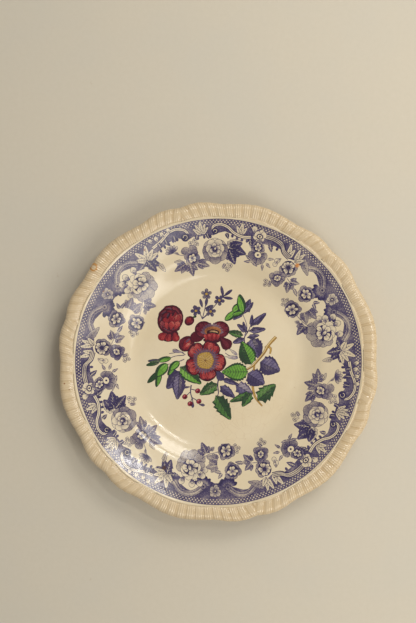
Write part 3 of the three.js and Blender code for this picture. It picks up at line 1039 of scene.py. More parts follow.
def draw_peony_stretch(border):
    # Behind the peony: an acanthus with dark leaves hanging under it.
    for heading, length, width, bend in (
        (196, 11, 7, 10), (232, 13, 8, 0), (262, 12.5, 8.5, 0), (-18, 13, 6.5, -20),
    ):
        border.leaf(5.4, 104.6, heading, length, width, tone=FULL, bend=bend, teeth=4, bite=0.3)
    border.leaf(1.2, 97.5, 262, 9, 4, tone=LIGHT, line=LINE, teeth=3)
    lobes = ((178, 11.5, 4.4), (152, 11, 4.6), (118, 12.8, 5), (66, 12, 5), (32, 10, 4.6))
    acanthus(border, 5.2, 104.4, lobes)

    strap_scroll(border, -1, (9.4, 107.5), (16.5, 114), (23.2, 106.4), 6)
    strap_scroll(border, 1, (46.5, 109), (40.6, 114), (34.4, 106.6), 6)
    floret(border, 28.6, 109.4, 4.9)

    for angle, radius, heading in ((17.6, 101.6, 84), (20.2, 100.4, 60), (13.4, 101.4, 104)):
        border.petal(angle, radius, heading, 7, 5, MID, PALE, 0.6, blunt=1.5)
        border.petal(angle, radius, heading, 4, 2.4, FULL, LIGHT, 0.4, blunt=1.3)
    peony(border, 15.2, 92.6)
    for angle, radius, heading in ((20.0, 96.4, 20), (20.6, 93.4, -10)):
        border.petal(angle, radius, heading, 6.4, 5, MID, PALE, 0.6, blunt=1.6)
    trefoil(border, 29.4, 88.5, 170, 9.6, 6.4, 0.66, 38, line=0.2)
    trefoil(border, 29.6, 84, 196, 9.8, 6.4, 0.66, 34, line=0.2)
    border.stroke([(20.5, 84), (24, 80), (30, 77.5)], 0.6, MID)
    trefoil(border, 22.6, 79.6, 240, 10.5, 7, DEEP, 44, teeth=4, bite=0.3)
    border.leaf(25, 77, -50, 5, 4, tone=MID)


def draw_round_flowers(border):
    border.leaf(32, 94.5, 126, 6, 3.4)
    border.leaf(31.6, 94.2, 190, 7, 3.4)
    shaded_flower(border, 37.4, 93.8, 6.9, 10, 0.62)
    border.stroke([(40, 89), (46, 90), (52, 92.4)], 0.6, MID)
    trefoil(border, 47.8, 91, 150, 8, 5.4, DEEP, bite=0.3)
    border.leaf(44, 89, 200, 7.4, 3.6, bite=0.3)
    trefoil(border, 48, 89.8, 240, 8.8, 6.4, DEEP, bite=0.3)

    shaded_flower(border, 35, 76.8, 7.2, 8, 0.66)
    pale_sprig(border, 39.4, 76, 1.5, -10)


def draw_daisy_stretch(border):
    border.leaf(51, 112.6, 214, 15.5, 6.4, tone=MID, line=LINE, teeth=6)
    acanthus(border, 52.4, 105.8, ((104, 11, 4.2), (76, 11.5, 4.2), (132, 8, 4)))
    acanthus(border, 56, 105, ((70, 12.6, 4.6), (96, 9.5, 4)))
    daisy(border, 53.3, 99.2, 6.2)
    border.petal(58.6, 102, -60, 6, 4, LIGHT, PALE, 0.4)
    border.petal(59.4, 98.5, -80, 5, 3.6, LIGHT, PALE, 0.4)
    shaded_flower(border, 54.6, 86.8, 6.4, 9, 0.42)
    pale_sprig(border, 57.2, 81.5, 1.5, 280)
    border.leaf(57, 82, 250, 4.5, 2.6)
    strap = [(55.6, 106.4), (59, 108), (61.6, 112.4), (65.4, 113.6), (69, 113)]
    border.stroke(strap, 4.6, FULL)
    for shift, width in ((1.3, 0.7), (0, 0.8), (-1.3, 0.7)):
        border.stroke([(a, r + shift) for a, r in strap], width, LIGHT)
    border.leaf(66.4, 109, 236, 7.5, 4.6, tone=FULL, bite=0.3)


def draw_small_flowers(border):
    border.petal(74.4, 113, 80, 5.4, 4.6, LIGHT, PALE, 0.4)
    border.ring_of_petals(71.6, 111.2, 5.6, 6, 4.8, LIGHT, PALE)
    border.disc(71.6, 111.2, 2.9, FULL, 0.8)
    border.disc(71.6, 111.2, 2.0, PALE, 0.7)
    border.disc(71.6, 111.2, 0.9, FULL)
    border.leaf(75.8, 108.5, 250, 13, 4.2, tone=FULL, bend=24, bite=0.2)
    shaded_flower(border, 70.8, 102.4, 5.4, 9, 0.6)
    for heading in (176, 216, 256, 296, 336):
        border.petal(69.7, 96.2, heading, 8.2, 7.2, FULL, MID, 0.9, blunt=1.9)
    border.disc(69.6, 96.4, 2.9, PALE, 0.85, line=LINE)
    border.disc(69.6, 96.3, 0.9, FULL)
    for angle, radius, heading in (
        (64.6, 96, 156), (64.4, 93, 204), (65.8, 91, 246), (71.4, 89.4, 204), (71.8, 89.2, -16),
        (72.2, 90.6, 24),
    ):
        border.leaf(angle, radius, heading, 6.2, 2.6, teeth=2, bite=0.08)


def draw_curls(border):
    acanthus(border, 80, 108.8, ((124, 8, 3.6), (90, 9.8, 4.2), (56, 8, 3.6)))
    tail = [(75.4, 108.6), (79, 107.4), (83, 109.6), (86, 114), (89.2, 116), (92, 114.6), (92.4, 111.6)]
    curl_scroll(border, tail, (91.4, 110.4), 2.5)
    lobes = ((140, 8.6, 3.4), (116, 9.6, 3.6), (90, 11, 4), (64, 9.6, 3.6), (40, 8.6, 3.4))
    acanthus(border, 97.6, 108.2, lobes)
    border.leaf(86.4, 109.4, 250, 5.6, 4, tone=FULL, bite=0.3)
    for angle, heading in ((95, 255), (99.5, 285)):
        border.leaf(angle, 108.6, heading, 4.6, 4, tone=FULL, bite=0.3)
    tail = [(120, 110.6), (115.6, 112.4), (111.6, 116.2), (108, 117.2), (104.6, 114.6), (103.4, 111)]
    curl_scroll(border, tail, (104.9, 108.6), 3.1)
    for angle, heading in ((109.6, 270), (113.6, 268), (117, 262)):
        border.leaf(angle, 112.6, heading, 5.6, 4.4, tone=FULL, bite=0.3)
    for angle, radius in ((110.6, 118.6), (113.6, 117.6), (116.6, 116.2), (119.2, 116.8)):
        border.petal(angle, radius - 3, 76, 4.8, 3, LIGHT, PALE, 0.3)


def draw_rose_stretch(border):
    border.leaf(86, 98.4, 148, 12.6, 6, tone=LIGHT, line=LINE, bend=-16)
    trefoil(border, 84.6, 97, 196, 15.6, 10.4, FULL, 40, teeth=5, bite=0.26)
    trefoil(border, 84.2, 94.6, 242, 12.6, 9, FULL, 36, teeth=5, bite=0.26)
    rose(border, 91.6, 95, 11)
    pale_sprig(border, 84.8, 84.4, 1.7, 250)
    border.leaf(86, 83.8, 290, 4.4, 2.8)


def draw_last_flowers(border):
    border.petal(104.2, 93.5, 120, 8, 7, DEEP, MID, 0.9, blunt=1.9)
    border.petal(105.6, 93, 68, 8, 7, DEEP, MID, 0.9, blunt=1.9)
    shaded_flower(border, 104.1, 90.2, 7.0, 7, 0.5)
    trefoil(border, 101.6, 85.4, 206, 10.4, 6.2, DEEP, 34, bite=0.3)
    trefoil(border, 106.2, 85.8, 270, 10.4, 6.8, DEEP, 40, bite=0.3)
    trefoil(border, 108.2, 87.4, -16, 12, 6.8, DEEP, 30, bite=0.3)
    border.leaf(109.6, 90.4, 12, 7, 2.8, tone=LIGHT, line=LINE, teeth=2)
    border.stroke([(104, 97), (102.4, 99.6), (101.2, 102)], 0.5, MID)
    pale_sprig(border, 102.4, 99.4, 1.6, 100)
    border.stroke([(107.6, 94), (110.4, 96.4), (112.6, 99.6)], 0.6, MID)
    for heading in (20, 45, 70, 95, 120, 145):
        border.petal(112.6, 99.4, heading, 6.6, 2.2, FULL, LIGHT, 0.4, blunt=1.7)
    border.leaf(110, 96.6, 40, 5, 2.4, tone=MID, teeth=2)


def draw_border():
    border = Border(INK)
    for draw_part in (
        shadow_ground, lattice, draw_peony_stretch, draw_round_flowers, draw_daisy_stretch,
        draw_small_flowers, draw_curls, draw_rose_stretch, draw_last_flowers,
    ):
        draw_part(border)
    return border


def turned(points, angle):
    """Points turned round the middle of the plate."""
    cos, sin = direction(angle)
    return [(x * cos - y * sin, x * sin + y * cos) for x, y in points]


def turned_copy(shape, angle):
    heading = math.degrees(math.atan2(shape.along[1], shape.along[0])) + angle
    axis = (turned([(shape.x, shape.y)], angle)[0], heading, shape.length)
    outline = turned(shape.outline, angle)
    return Shape(outline, shape.pigment, shape.base, shape.tip, shape.hatch, axis, shape.film)


def crosses_ends(shape):
    """Whether a shape on the first paper crosses the start of the paper, and its end."""
    angles = [math.degrees(math.atan2(y, x)) % 360 for x, y in shape.outline]
    opposite = 180 + BORDER_TURN / 2
    return any(a > opposite for a in angles), any(BORDER_TURN < a < opposite for a in angles)


def build_border():
    """The three papers. Shapes that cross the end of a paper carry on across the start of the next."""
    heap = []
    for shape in draw_border().shapes:
        heap.append(shape)
        before, after = crosses_ends(shape)
        if before:
            heap.append(turned_copy(shape, BORDER_TURN))
        if after:
            heap.append(turned_copy(shape, -BORDER_TURN))
    degrees = int(BORDER_TURN)
    rim = [polar(a / 2, BORDER_OUTER) for a in range(2 * degrees + 1)]
    inner = [polar(a / 2, BORDER_INNER) for a in range(2 * degrees, -1, -1)]
    start, end = ([polar(a, r) for r in range(119, 71, -1)] for a in (0, BORDER_TURN))
    fence = rim + end + inner + start[::-1]
    clear = Shape(fence, INK, 0, 0, 0, ((0, 0), 0, 1), None)
    support = []
    radius = BORDER_INNER + 1
    while radius < BORDER_OUTER - 0.5:
        support += [polar(BORDER_TURN * (i + 0.5) / degrees, radius) for i in range(degrees)]
        radius += 1.3 if radius < 96 else 2.2  # closer where the face curves most
    points, kept = cut_net([clear] + heap, fence, support)
    ink = paint_material("violet_transfer", 0.09, 0.85, INK_DARK, full=0.85)
    for paper in range(BORDER_REPEATS):
        turn = paper * BORDER_TURN
        copies = {id(shape): turned_copy(shape, turn) for _, shape in kept}
        own = [(triangle, copies[id(shape)]) for triangle, shape in kept]
        piece = film_piece(f"border_print_{paper + 1}", turned(points, turn), own, INK_FILM)
        keep(piece, ink, "violet_ink", f"border_transfer_{paper + 1}")


# ---- The bouquet -----------------------------------------------------------------------------------------
# Printed in violet, then filled in by hand with enamel. Places are in millimetres from the plate's middle,
# and headings in degrees from its right-hand side. Every shape belongs to the piece that is being drawn.

ROSE = linear(148, 30, 40)
ROSE_LIGHT = linear(176, 58, 58)
ROSE_DEEP = linear(92, 12, 32)
CLARET = linear(122, 34, 50)
ROSE_DUSK = linear(146, 58, 66)
ROSE_DARK = linear(48, 12, 30)
PLUM = linear(112, 84, 104)
MOUTH = linear(168, 104, 58)
MOUTH_LIGHT = linear(196, 156, 108)
STAMEN = linear(178, 142, 66)
STAMEN_DARK = linear(118, 84, 44)
GREEN = linear(108, 164, 58)
GREEN_MID = linear(78, 122, 56)
GREEN_DEEP = linear(44, 78, 42)
GREEN_DARK = linear(38, 46, 42)
VIOLET_PALE = linear(158, 146, 156)
VIOLET = linear(104, 94, 128)
VIOLET_DEEP = linear(70, 60, 92)
VIOLET_DARK = linear(46, 38, 68)
OCHRE = linear(190, 152, 78)
OCHRE_LIGHT = linear(222, 204, 156)
BERRY = linear(150, 44, 62)
BERRY_LIGHT = linear(206, 140, 132)


class Bouquet(Drawing):
    """The line pigment is set by what is being drawn: it is the dark one of its colour."""

    def begin(self, piece):
        self.film = piece

    def petal(self, x, y, heading, length, width, pigment, base=0.7, tip=0.7, hatch=0.5, line=0.35, **form):
        outline = petal_outline(x, y, heading, length, width, **form)
        self.lay(outline, pigment, base, tip, hatch, ((x, y), heading, length), line, 1.0)

    def oval(self, x, y, long_radius, short_radius, heading, pigment, cover=0.7, hatch=0.4, line=0.0):
        outline = oval_outline(x, y, long_radius, short_radius, heading, 20 if long_radius > 2 else 10)
        self.lay(outline, pigment, cover, cover, hatch, ((x, y), heading, long_radius), line, 1.0)

    def stroke(self, points, width, pigment, taper=0.0, cover=0.8, line=0.0):
        route = spline(points, 5) if len(points) > 2 else points
        outline = ribbon_outline(route, lambda t: width * (1 - taper * t))
        x, y, turn, length = between(points[0], points[-1])
        self.lay(outline, pigment, cover, cover, 0.2, ((x, y), turn, length), line, 1.0)

    def leaf(self, start, end, width, bright, deep, dark, side=1, **form):
        """A toothed leaf with a dark edge and a feather of veins.

        One half is brighter than the other: the left one where side is 1, or both where it is 0."""
        x, y, turn, length = between(start, end)
        axis = ((x, y), turn, length)
        rib, left, right = leaf_sides(x, y, turn, length, width, **form)
        self.line_pigment = dark
        self.lay([rib[0]] + right + [rib[-1]] + left[::-1], deep, 0.92, 0.8, 0.5, axis, 0.28, 1.0)
        for edge, lit in ((left, side >= 0), (right, side <= 0)):
            reach = 0.78 if lit else 0.78 * 0.62
            inner = [partway(a, b, reach) for a, b in zip(rib[1:], edge)]
            half = [rib[0]] + inner + [rib[-1]] + rib[-2:0:-1]
            self.lay(half, bright if lit else deep, 0.66, 0.74, 0.55, axis)
        middle = len(rib) // 2
        for i in range(1, middle):
            root = rib[2 * i - 1]
            for edge in (left, right):
                vein = [root, partway(root, edge[min(2 * i, len(edge) - 1)], 0.8)]
                self.stroke(vein, 0.42, dark, 0.6, 1.0)
        self.stroke([rib[0], rib[middle], rib[-2]], 0.6, dark, 0.6, 1.0)

    def violet_leaf(self, start, end, width, side=1, **form):
        self.leaf(start, end, width, VIOLET, VIOLET_DEEP, VIOLET_DARK, side, **form)

    def sepal(self, start, end, width, pigment=GREEN, shade=GREEN_DEEP):
        """A long smooth bud leaf with a shaded side."""
        x, y, turn, length = between(start, end)
        self.line_pigment = GREEN_DARK
        self.petal(x, y, turn, length, width, shade, 0.85, 0.8, 0.5, 0.3, blunt=0.85)
        self.petal(x, y, turn + 5, length * 0.9, width * 0.62, pigment, 0.64, 0.7, 0.5, 0, blunt=0.9)
        self.stroke([start, partway(start, end, 0.8)], 0.3, GREEN_DARK, 0.5, 1.0)

    def small_flower(self, x, y, first):
        """Five petals round a yellow eye, the first of them on a given heading."""
        reach, width = 4.6, 4.6 * 0.62
        self.line_pigment = VIOLET_DARK
        for i in range(5):
            heading = first + 360 * i / 5
            self.petal(x, y, heading, reach, width, VIOLET_DEEP, 0.75, 0.62, 0.6, 0.18, blunt=1.7, points=6)
        self.oval(x, y, reach * 0.25, reach * 0.23, 0, STAMEN, 0.7, 0.1, 0.14)


def draw_stems(bouquet):
    """The loose stems of the berries, of the buds at the left and of the spray at the right."""
    bouquet.line_pigment = VIOLET_DARK
    bouquet.begin("violet_stem_print_1")
    for route, width, taper in (
        ([(-23, -20.5), (-23.6, -27), (-22, -33), (-21, -39)], 1.0, 0.3),
        ([(-23.2, -24), (-19, -25)], 0.7, 0), ([(-23.4, -26), (-27.4, -29.8)], 0.7, 0),
        ([(-22.6, -31), (-17.6, -34)], 0.7, 0), ([(-22.4, -32), (-23.8, -35.5)], 0.6, 0),
    ):
        bouquet.stroke(route, width, VIOLET_DEEP, taper)
    for x, y, heading, length, width in (
        (-21.4, -35, -96, 5, 2.2), (-16.4, -37, -10, 5, 2.2), (-23.6, -22, 186, 6, 1.7),
    ):
        bouquet.petal(x, y, heading, length, width, VIOLET_DEEP, line=0.15)
    bouquet.begin("violet_stem_print_2")
    for route in (
        [(-28, 5.4), (-33, 8), (-38, 7), (-42, 6.4)], [(-29, 5), (-36, 4.4), (-41, 2.6)],
        [(-33, 8.4), (-36.4, 10.2), (-39, 9.8)], [(-29, 1.6), (-34, -0.6), (-38, -2), (-45, -3)],
    ):
        bouquet.stroke(route, 0.7, VIOLET_DEEP, 0.3, 0.75)
    bouquet.petal(-29.6, 7.4, 172, 9.6, 2.2, VIOLET, 0.4, 0.6, line=0.2)
    bouquet.begin("violet_stem_print_3")
    for route in (
        [(6, 8.6), (9, 10.6), (12.4, 8.4), (16.4, 5.6)], [(6, 7), (10, 4.6), (16.8, 4.2)],
        [(7, 10), (8.4, 11.4), (6.4, 12.4)],
    ):
        bouquet.stroke(route, 0.6, VIOLET_DEEP, 0.3, 0.75)
    bouquet.petal(6, 3.8, -6, 11, 3, VIOLET, 0.25, 0.5, line=0.2)
    bouquet.petal(9.6, 10.4, -38, 8.4, 2.4, VIOLET, 0.2, 0.45, line=0.2)


def draw_cluster(bouquet):
    """The small flowers at the top, with buds between them, on stalks from one place."""
    bouquet.line_pigment = VIOLET_DARK
    bouquet.begin("violet_cluster_print")
    flowers = ((-10, 57.4, 90), (1, 52, 60), (-6.5, 42.4, 80), (-19, 43, 40))
    for x, y, _ in flowers:
        stalk = [(x, y), ((x - 13) / 2 + 0.6, (y + 37) / 2), (-13.6, 36)]
        bouquet.stroke(stalk, 0.7, VIOLET_DEEP, cover=0.7)
    bouquet.stroke([(1, 52), (6, 56.4)], 0.7, VIOLET_DEEP, cover=0.7)
    for start, end in (
        ((-13.6, 46), (-15.4, 53)), ((-10.6, 47), (-9.6, 54)), ((-11, 45), (-4, 47.6)),
        ((-15, 41), (-20.4, 47.6)), ((4.4, 55), (2.6, 64)), ((5, 55.6), (12, 61)), ((4, 54.4), (12.4, 53.4)),
    ):
        bouquet.petal(*between(start, end), 2.3, VIOLET_DEEP, 0.8, 0.7, line=0.2, blunt=1.2)
    for flower in flowers:
        bouquet.small_flower(*flower)


def draw_spray(bouquet):
    """The printed spray at the upper right. A leaf is its start, end, width and lit side."""
    bouquet.begin("violet_spray_print_1")
    bouquet.stroke([(23, 14), (22.4, 20), (25.4, 25), (28.6, 32)], 1.0, VIOLET_DEEP, 0.4)
    bouquet.stroke([(22.6, 22), (24.6, 27), (23.8, 33), (21, 40)], 0.7, VIOLET, 0.3)
    for start, end, width, side in (
        ((28.6, 30), (41, 41), 5.8, 1), ((28.4, 29), (29, 39.6), 3.4, 1), ((26, 25.6), (40.6, 27.4), 5.6, -1),
        ((25.4, 24.6), (16.4, 31.4), 5, 1), ((23.6, 24), (21.4, 33.6), 3.2, -1),
        ((22.8, 19.4), (12.6, 15.6), 5.4, 1), ((24.8, 20), (35, 22.2), 4, 1),
    ):
        bouquet.violet_leaf(start, end, width, side, teeth=3, bite=0.14)
    bouquet.begin("violet_spray_print_2")
    for start, end, width, side, bite in (
        ((21.4, 40), (27.6, 53), 7.2, -1, 0.4), ((22.6, 40.6), (30, 50.4), 5, 1, 0.4),
        ((22, 41.4), (12.8, 35.4), 3.4, 1, 0.14),
    ):
        bouquet.violet_leaf(start, end, width, side, teeth=3, bite=bite)


def draw_low_twig(bouquet):
    bouquet.begin("ochre_twig_enamel_2")
    bouquet.line_pigment = STAMEN_DARK
    twig = [(29.4, -19), (30, -25), (31.8, -31), (34.6, -35), (37.6, -38.4)]
    bouquet.stroke(twig, 1.7, OCHRE, 0.4, line=0.22)


def draw_violet_leaves(bouquet):
    for number, (start, end, width, side) in enumerate((
        ((28.6, 19.6), (35.4, 2.6), 14, -1), ((36, -1), (52.6, -8.4), 17.4, 1),
        ((25.4, -10.6), (39.4, -19.6), 16, 1),
    )):
        bouquet.begin(f"violet_leaf_print_{number + 1}")
        bouquet.violet_leaf(start, end, width, side, teeth=7, bite=0.13)
    bouquet.begin("violet_leaf_print_4")
    bouquet.violet_leaf((-31, -9), (-44, -23.4), 14, 1, teeth=6, bite=0.2)
    bouquet.violet_leaf((-33.4, -11), (-33.4, -32.8), 12, -1, teeth=7, bite=0.2, bend=-8)
    bouquet.begin("violet_leaf_print_5")
    bouquet.violet_leaf((1.6, -21.4), (14, -31), 8.4, 1, teeth=5)
    bouquet.stroke([(0.6, -14), (-0.4, -20), (0.2, -27), (-1, -31)], 1.2, VIOLET_DEEP, 0.4)
    bouquet.begin("violet_leaf_print_6")
    bouquet.leaf((15, -20.4), (29.4, -28.4), 11.6, VIOLET_PALE, VIOLET, VIOLET_DEEP, 1, teeth=5)
    bouquet.begin("violet_leaf_print_7")
    bouquet.violet_leaf((3, -15), (18, -20.4), 4.4, -1, teeth=4, bite=0.12)
    bouquet.petal(-1, -8, -62, 9.6, 6.4, VIOLET_DEEP)


# The painted leaves of each piece: start, end, width, lit side, number of teeth and their depth, and colour.
GREEN_LEAVES = (
    [((28.4, -2.8), (20.2, 16.6), 15, -1, 9, 0.1, GREEN)],
    [((25.4, -9.2), (3.4, -9.4), 16, 0, 10, 0.1, GREEN)],
    [((-32.6, -5), (-14.6, -19.4), 12.4, -1, 7, 0.14, GREEN)],
    [((-0.6, -19.4), (-15.6, -28.6), 10.6, 1, 5, 0.2, GREEN_MID)],
    [((-2, -29.4), (10.6, -50), 14, -1, 6, 0.26, GREEN_MID)],
    [((33.6, -33.6), (49, -20), 14.6, 1, 5, 0.3, GREEN_MID)],
    [
        ((29.4, -27.4), (10, -34.8), 7, -1, 4, 0.24, GREEN_MID),
        ((28.4, -27), (20.6, -38.8), 8.6, 1, 4, 0.24, GREEN_MID),
    ],
    [((21.4, 22), (8, 25.2), 6.4, 1, 5, 0.2, GREEN_MID)],
)

# The painted buds of each piece: start, end and width, then any other colour and shade.
GREEN_BUDS = (
    [
        ((-40.6, 2.6), (-52.4, 0), 4.4), ((-50.6, -1), (-61.4, -3.6), 3.2, GREEN_DEEP),
        ((-49.6, 0.4), (-60, 0), 2.6, GREEN_DEEP, VIOLET_DEEP),
    ],
    [
        ((-50, -9), (-60.4, -18.6), 4.4, GREEN_DEEP), ((-49.4, -10), (-53, -22), 4.4),
        ((-43.6, -2.6), (-53.6, -13), 8.4),
    ],
    [((-37, -3), (-43, -12), 4.4), ((-33.4, -0.6), (-42, -7.4), 6)],
    [
        ((6, 35), (17, 43.6), 5.6), ((12.6, 42.4), (20.4, 49), 6.4), ((21, 41.6), (18.4, 57), 7),
        ((12.6, 39.6), (21.6, 41.4), 4),
    ],
)


def draw_greenery(bouquet):
    for number, leaves in enumerate(GREEN_LEAVES):
        bouquet.begin(f"green_leaf_enamel_{number + 1}")
        for start, end, width, side, teeth, bite, bright in leaves:
            bouquet.leaf(start, end, width, bright, GREEN_DEEP, GREEN_DARK, side, teeth=teeth, bite=bite)
    for number, buds in enumerate(GREEN_BUDS):
        bouquet.begin(f"green_bud_enamel_{number + 1}")
        for bud in buds:
            bouquet.sepal(*bud)


def draw_high_twig(bouquet):
    """A knotted twig over the leaves, with a light side and a dark one."""
    bouquet.begin("ochre_twig_enamel_1")
    bouquet.line_pigment = STAMEN_DARK
    twig = [(24.6, -7), (29.6, -4), (35, 2), (39.4, 7.4), (43, 13.6), (49.4, 20.6)]
    for route, width, taper in (
        ([(42.6, 12.6), (45, 10.6), (44.4, 6.4)], 1.6, 0.3), ([(40.6, 11), (43.4, 13.4)], 2.8, 0.4),
        ([(31, -3), (30.4, -8)], 1.4, 0.3), (twig, 1.4, -0.7),
    ):
        bouquet.stroke(route, width, OCHRE, taper, line=0.22)
    bouquet.stroke([(x + 0.3, y - 0.4) for x, y in twig], 0.4, STAMEN_DARK, cover=0.9)
    bouquet.stroke([(x - 0.3, y + 0.35) for x, y in twig], 0.4, OCHRE_LIGHT, cover=0.6)


def draw_berries(bouquet):
    bouquet.line_pigment = ROSE_DARK
    for number, (x, y) in enumerate(((-17.5, -25.5), (-28.5, -30.5), (-24, -36.5), (-16.5, -34.5))):
        bouquet.begin(f"berry_enamel_{number + 1}")
        bouquet.oval(x, y, 2.1, 1.9, 30, BERRY, 0.75, 0.3, 0.25)
        bouquet.oval(x + 0.6, y - 0.6, 1.2, 1.0, 30, ROSE_DEEP, 0.85)
        bouquet.oval(x - 0.6, y + 0.7, 0.55, 0.45, 0, BERRY_LIGHT, 0.7)


def draw_peony(bouquet):
    """A ball of small petals in two rings, with long ones over its lower half and a skirt under it."""
    bouquet.begin("peony_enamel")
    bouquet.line_pigment = ROSE_DARK
    petal = bouquet.petal
    bouquet.oval(-41.4, 21.8, 7.2, 4.8, 12, ROSE_DEEP, 0.9, 0.6, 0.4)
    for px, heading, length, width in ((-43, 226, 10.6, 6.6), (-41, 256, 9.6, 5.4), (-38, 286, 9.6, 6.4)):
        petal(px, 26, heading, length, width, ROSE, 0.95, 0.66, 0.6, 0.3, blunt=2.0)
        within = width * 0.44
        petal(px, 25.6, heading + 6, length - 1.6, within, ROSE_LIGHT, 0.95, 0.66, 0.6, 0, blunt=1.9)
    x, y, tilt = -40.9, 35.6, 66
    bouquet.oval(x, y, 12.2, 10.4, tilt, ROSE_DEEP, 0.94, 0.7, 0.45)
    cos, sin = direction(tilt)
    for share, count, size, shade in ((0.76, 9, 4.9, ROSE_DUSK), (0.5, 7, 4.0, ROSE)):
        for i in range(count):
            place = 2 * math.pi * (i + share) / count
            along, across = 12 * share * math.cos(place), 10 * share * math.sin(place)
            px, py = x + along * cos - across * sin, y + along * sin + across * cos
            turn = math.degrees(math.atan2(py - y, px - x)) + 72
            bouquet.oval(px, py, size, 2.6, turn, ROSE_DEEP, 0.95, 0.9, 0.32)
            bouquet.oval(px, py, size * 0.8, 1.5, turn + 6, shade, 0.92, 0.9)
            if share > 0.6 and math.sin(math.radians(turn)) < 0.3:
                bouquet.oval(px, py, size * 0.6, 0.7, turn + 6, PLUM, 0.9, 0.6)
    for px, py, heading, length, width, pigment in (
        (-36.6, 29.4, 68, 12, 5.6, ROSE_DUSK), (-39, 27.6, 66, 13.4, 5.8, ROSE),
        (-41.4, 27, 84, 13.4, 5.8, ROSE), (-43.6, 28.6, 100, 9, 5, ROSE), (-38, 26, 60, 9, 4.8, ROSE_LIGHT),
        (-40.6, 25.8, 80, 8.4, 5, ROSE_LIGHT), (-43.4, 26.6, 104, 6.8, 4.4, ROSE_LIGHT),
        (-46, 28.6, 116, 6, 3.4, ROSE_DUSK),
    ):
        petal(px, py, heading, length, width, pigment, 1.0, 0.66, 0.7, 0.3, blunt=1.8)
    bouquet.oval(-42.4, 38.8, 3, 1.0, 62, ROSE_DARK, 0.9)
    bouquet.oval(-43, 39.4, 2, 0.6, 62, PLUM, 0.9)
    bouquet.oval(-38.4, 40.4, 2.4, 0.7, 60, ROSE_DARK, 0.9)


def draw_cup_rose(bouquet):
    """A rose seen from the side: two broad wings, a dark mouth and the bowl of the cup below it."""
    bouquet.begin("cup_rose_enamel")
    bouquet.line_pigment = ROSE_DARK
    petal = bouquet.petal
    x, y = -5.2, 21.5
    bouquet.oval(x - 12.6, y - 0.4, 6, 4.4, 20, ROSE_DEEP, 0.9, 0.6, 0.45)
    petal(x + 5, y + 1, -48, 15.4, 9.4, ROSE_DEEP, 1.0, 0.8, 0.7, blunt=2.4)
    petal(x + 7, y - 1, -50, 11, 3.4, CLARET, 0.95, 0.8, 0.8, 0, blunt=2.0)
    for side in (1, -1):
        heading = 90 + 42 * side
        bouquet.oval(x - 7.0 * side, y + 5.4, 7.4, 6.9, 0, ROSE_DEEP, 0.9, 0.6, 0.45)
        for lean, reach, width in ((38, 13, 3.6), (20, 15.4, 4), (4, 15, 4), (-12, 13, 3.6), (-26, 11, 3)):
            petal(x, y, heading + lean * side, reach, width, CLARET, 1.0, 0.82, 0.8, 0, blunt=2.4)
        for lean in (34, 20, 6, -8, -22, -34):
            petal(x, y + 1, heading + lean * side, 10.4, 2.6, PLUM, 0.95, 0.74, 0.8, 0, blunt=1.3)
    bouquet.oval(x + 0.6, y + 4, 7.2, 4.2, 0, MOUTH, 0.8, 0.6)
    bouquet.oval(x + 0.8, y + 3, 5.4, 2.6, 0, ROSE_DARK, 0.9, 0.3)
    bouquet.oval(x + 1.4, y + 3.4, 3.6, 1.2, -8, MOUTH_LIGHT, 0.8, 0.2)
    bouquet.oval(x + 1.4, y + 2.4, 4.2, 0.9, -6, GREEN_DARK, 0.9, 0.2)
    petal(x, y - 6.4, 90, 5.2, 15, ROSE_DEEP, 1.0, 0.9, 0.7, blunt=1.2)
    petal(x, y - 4.6, 90, 7, 13, ROSE, 0.95, 0.7, 0.6, blunt=1.3)
    for shift, heading in ((-4.4, 112), (-1.6, 98), (1.4, 84), (4, 70)):
        petal(x + shift, y - 4, heading, 5.8, 2.4, ROSE_LIGHT, 0.95, 0.6, 0.6, 0, blunt=1.6)


def draw_rosebuds(bouquet):
    bouquet.line_pigment = ROSE_DARK
    petal = bouquet.petal
    bouquet.begin("rosebud_enamel_1")
    petal(-22.4, 37, 20, 4, 1.6, GREEN_DEEP, line=0.15)
    bouquet.oval(-24.6, 34.4, 4.2, 3.4, 40, ROSE_DEEP, 0.9, 0.6, 0.35)
    for heading, width, pigment in ((72, 3, CLARET), (24, 3, CLARET), (50, 3.2, ROSE)):
        petal(-27.4, 32, heading, 6.2, width, pigment, 0.95, 0.7, 0.6, 0.2, blunt=1.7)
    bouquet.begin("rosebud_enamel_2")
    bouquet.oval(-27, 14.8, 7, 5.8, 42, ROSE_DEEP, 0.9, 0.6, 0.4)
    petal(-32, 10, 72, 9.6, 6.4, CLARET, 0.95, 0.8, 0.6, 0.3, blunt=1.8)
    petal(-31.4, 9.6, 52, 11.6, 5.6, ROSE, 0.95, 0.74, 0.6, 0.3, blunt=1.9)
    petal(-30.8, 9.4, 28, 9.6, 5, ROSE, 0.95, 0.68, 0.6, 0.3, blunt=1.8)
    petal(-30.6, 10, 42, 8, 2.6, ROSE_LIGHT, 0.9, 0.6, 0.6, 0, blunt=1.7)
    bouquet.oval(-26, 17.6, 2.6, 0.8, 40, PLUM, 0.9, 0.6)


OPEN_ROSE = (-11, 0.5)


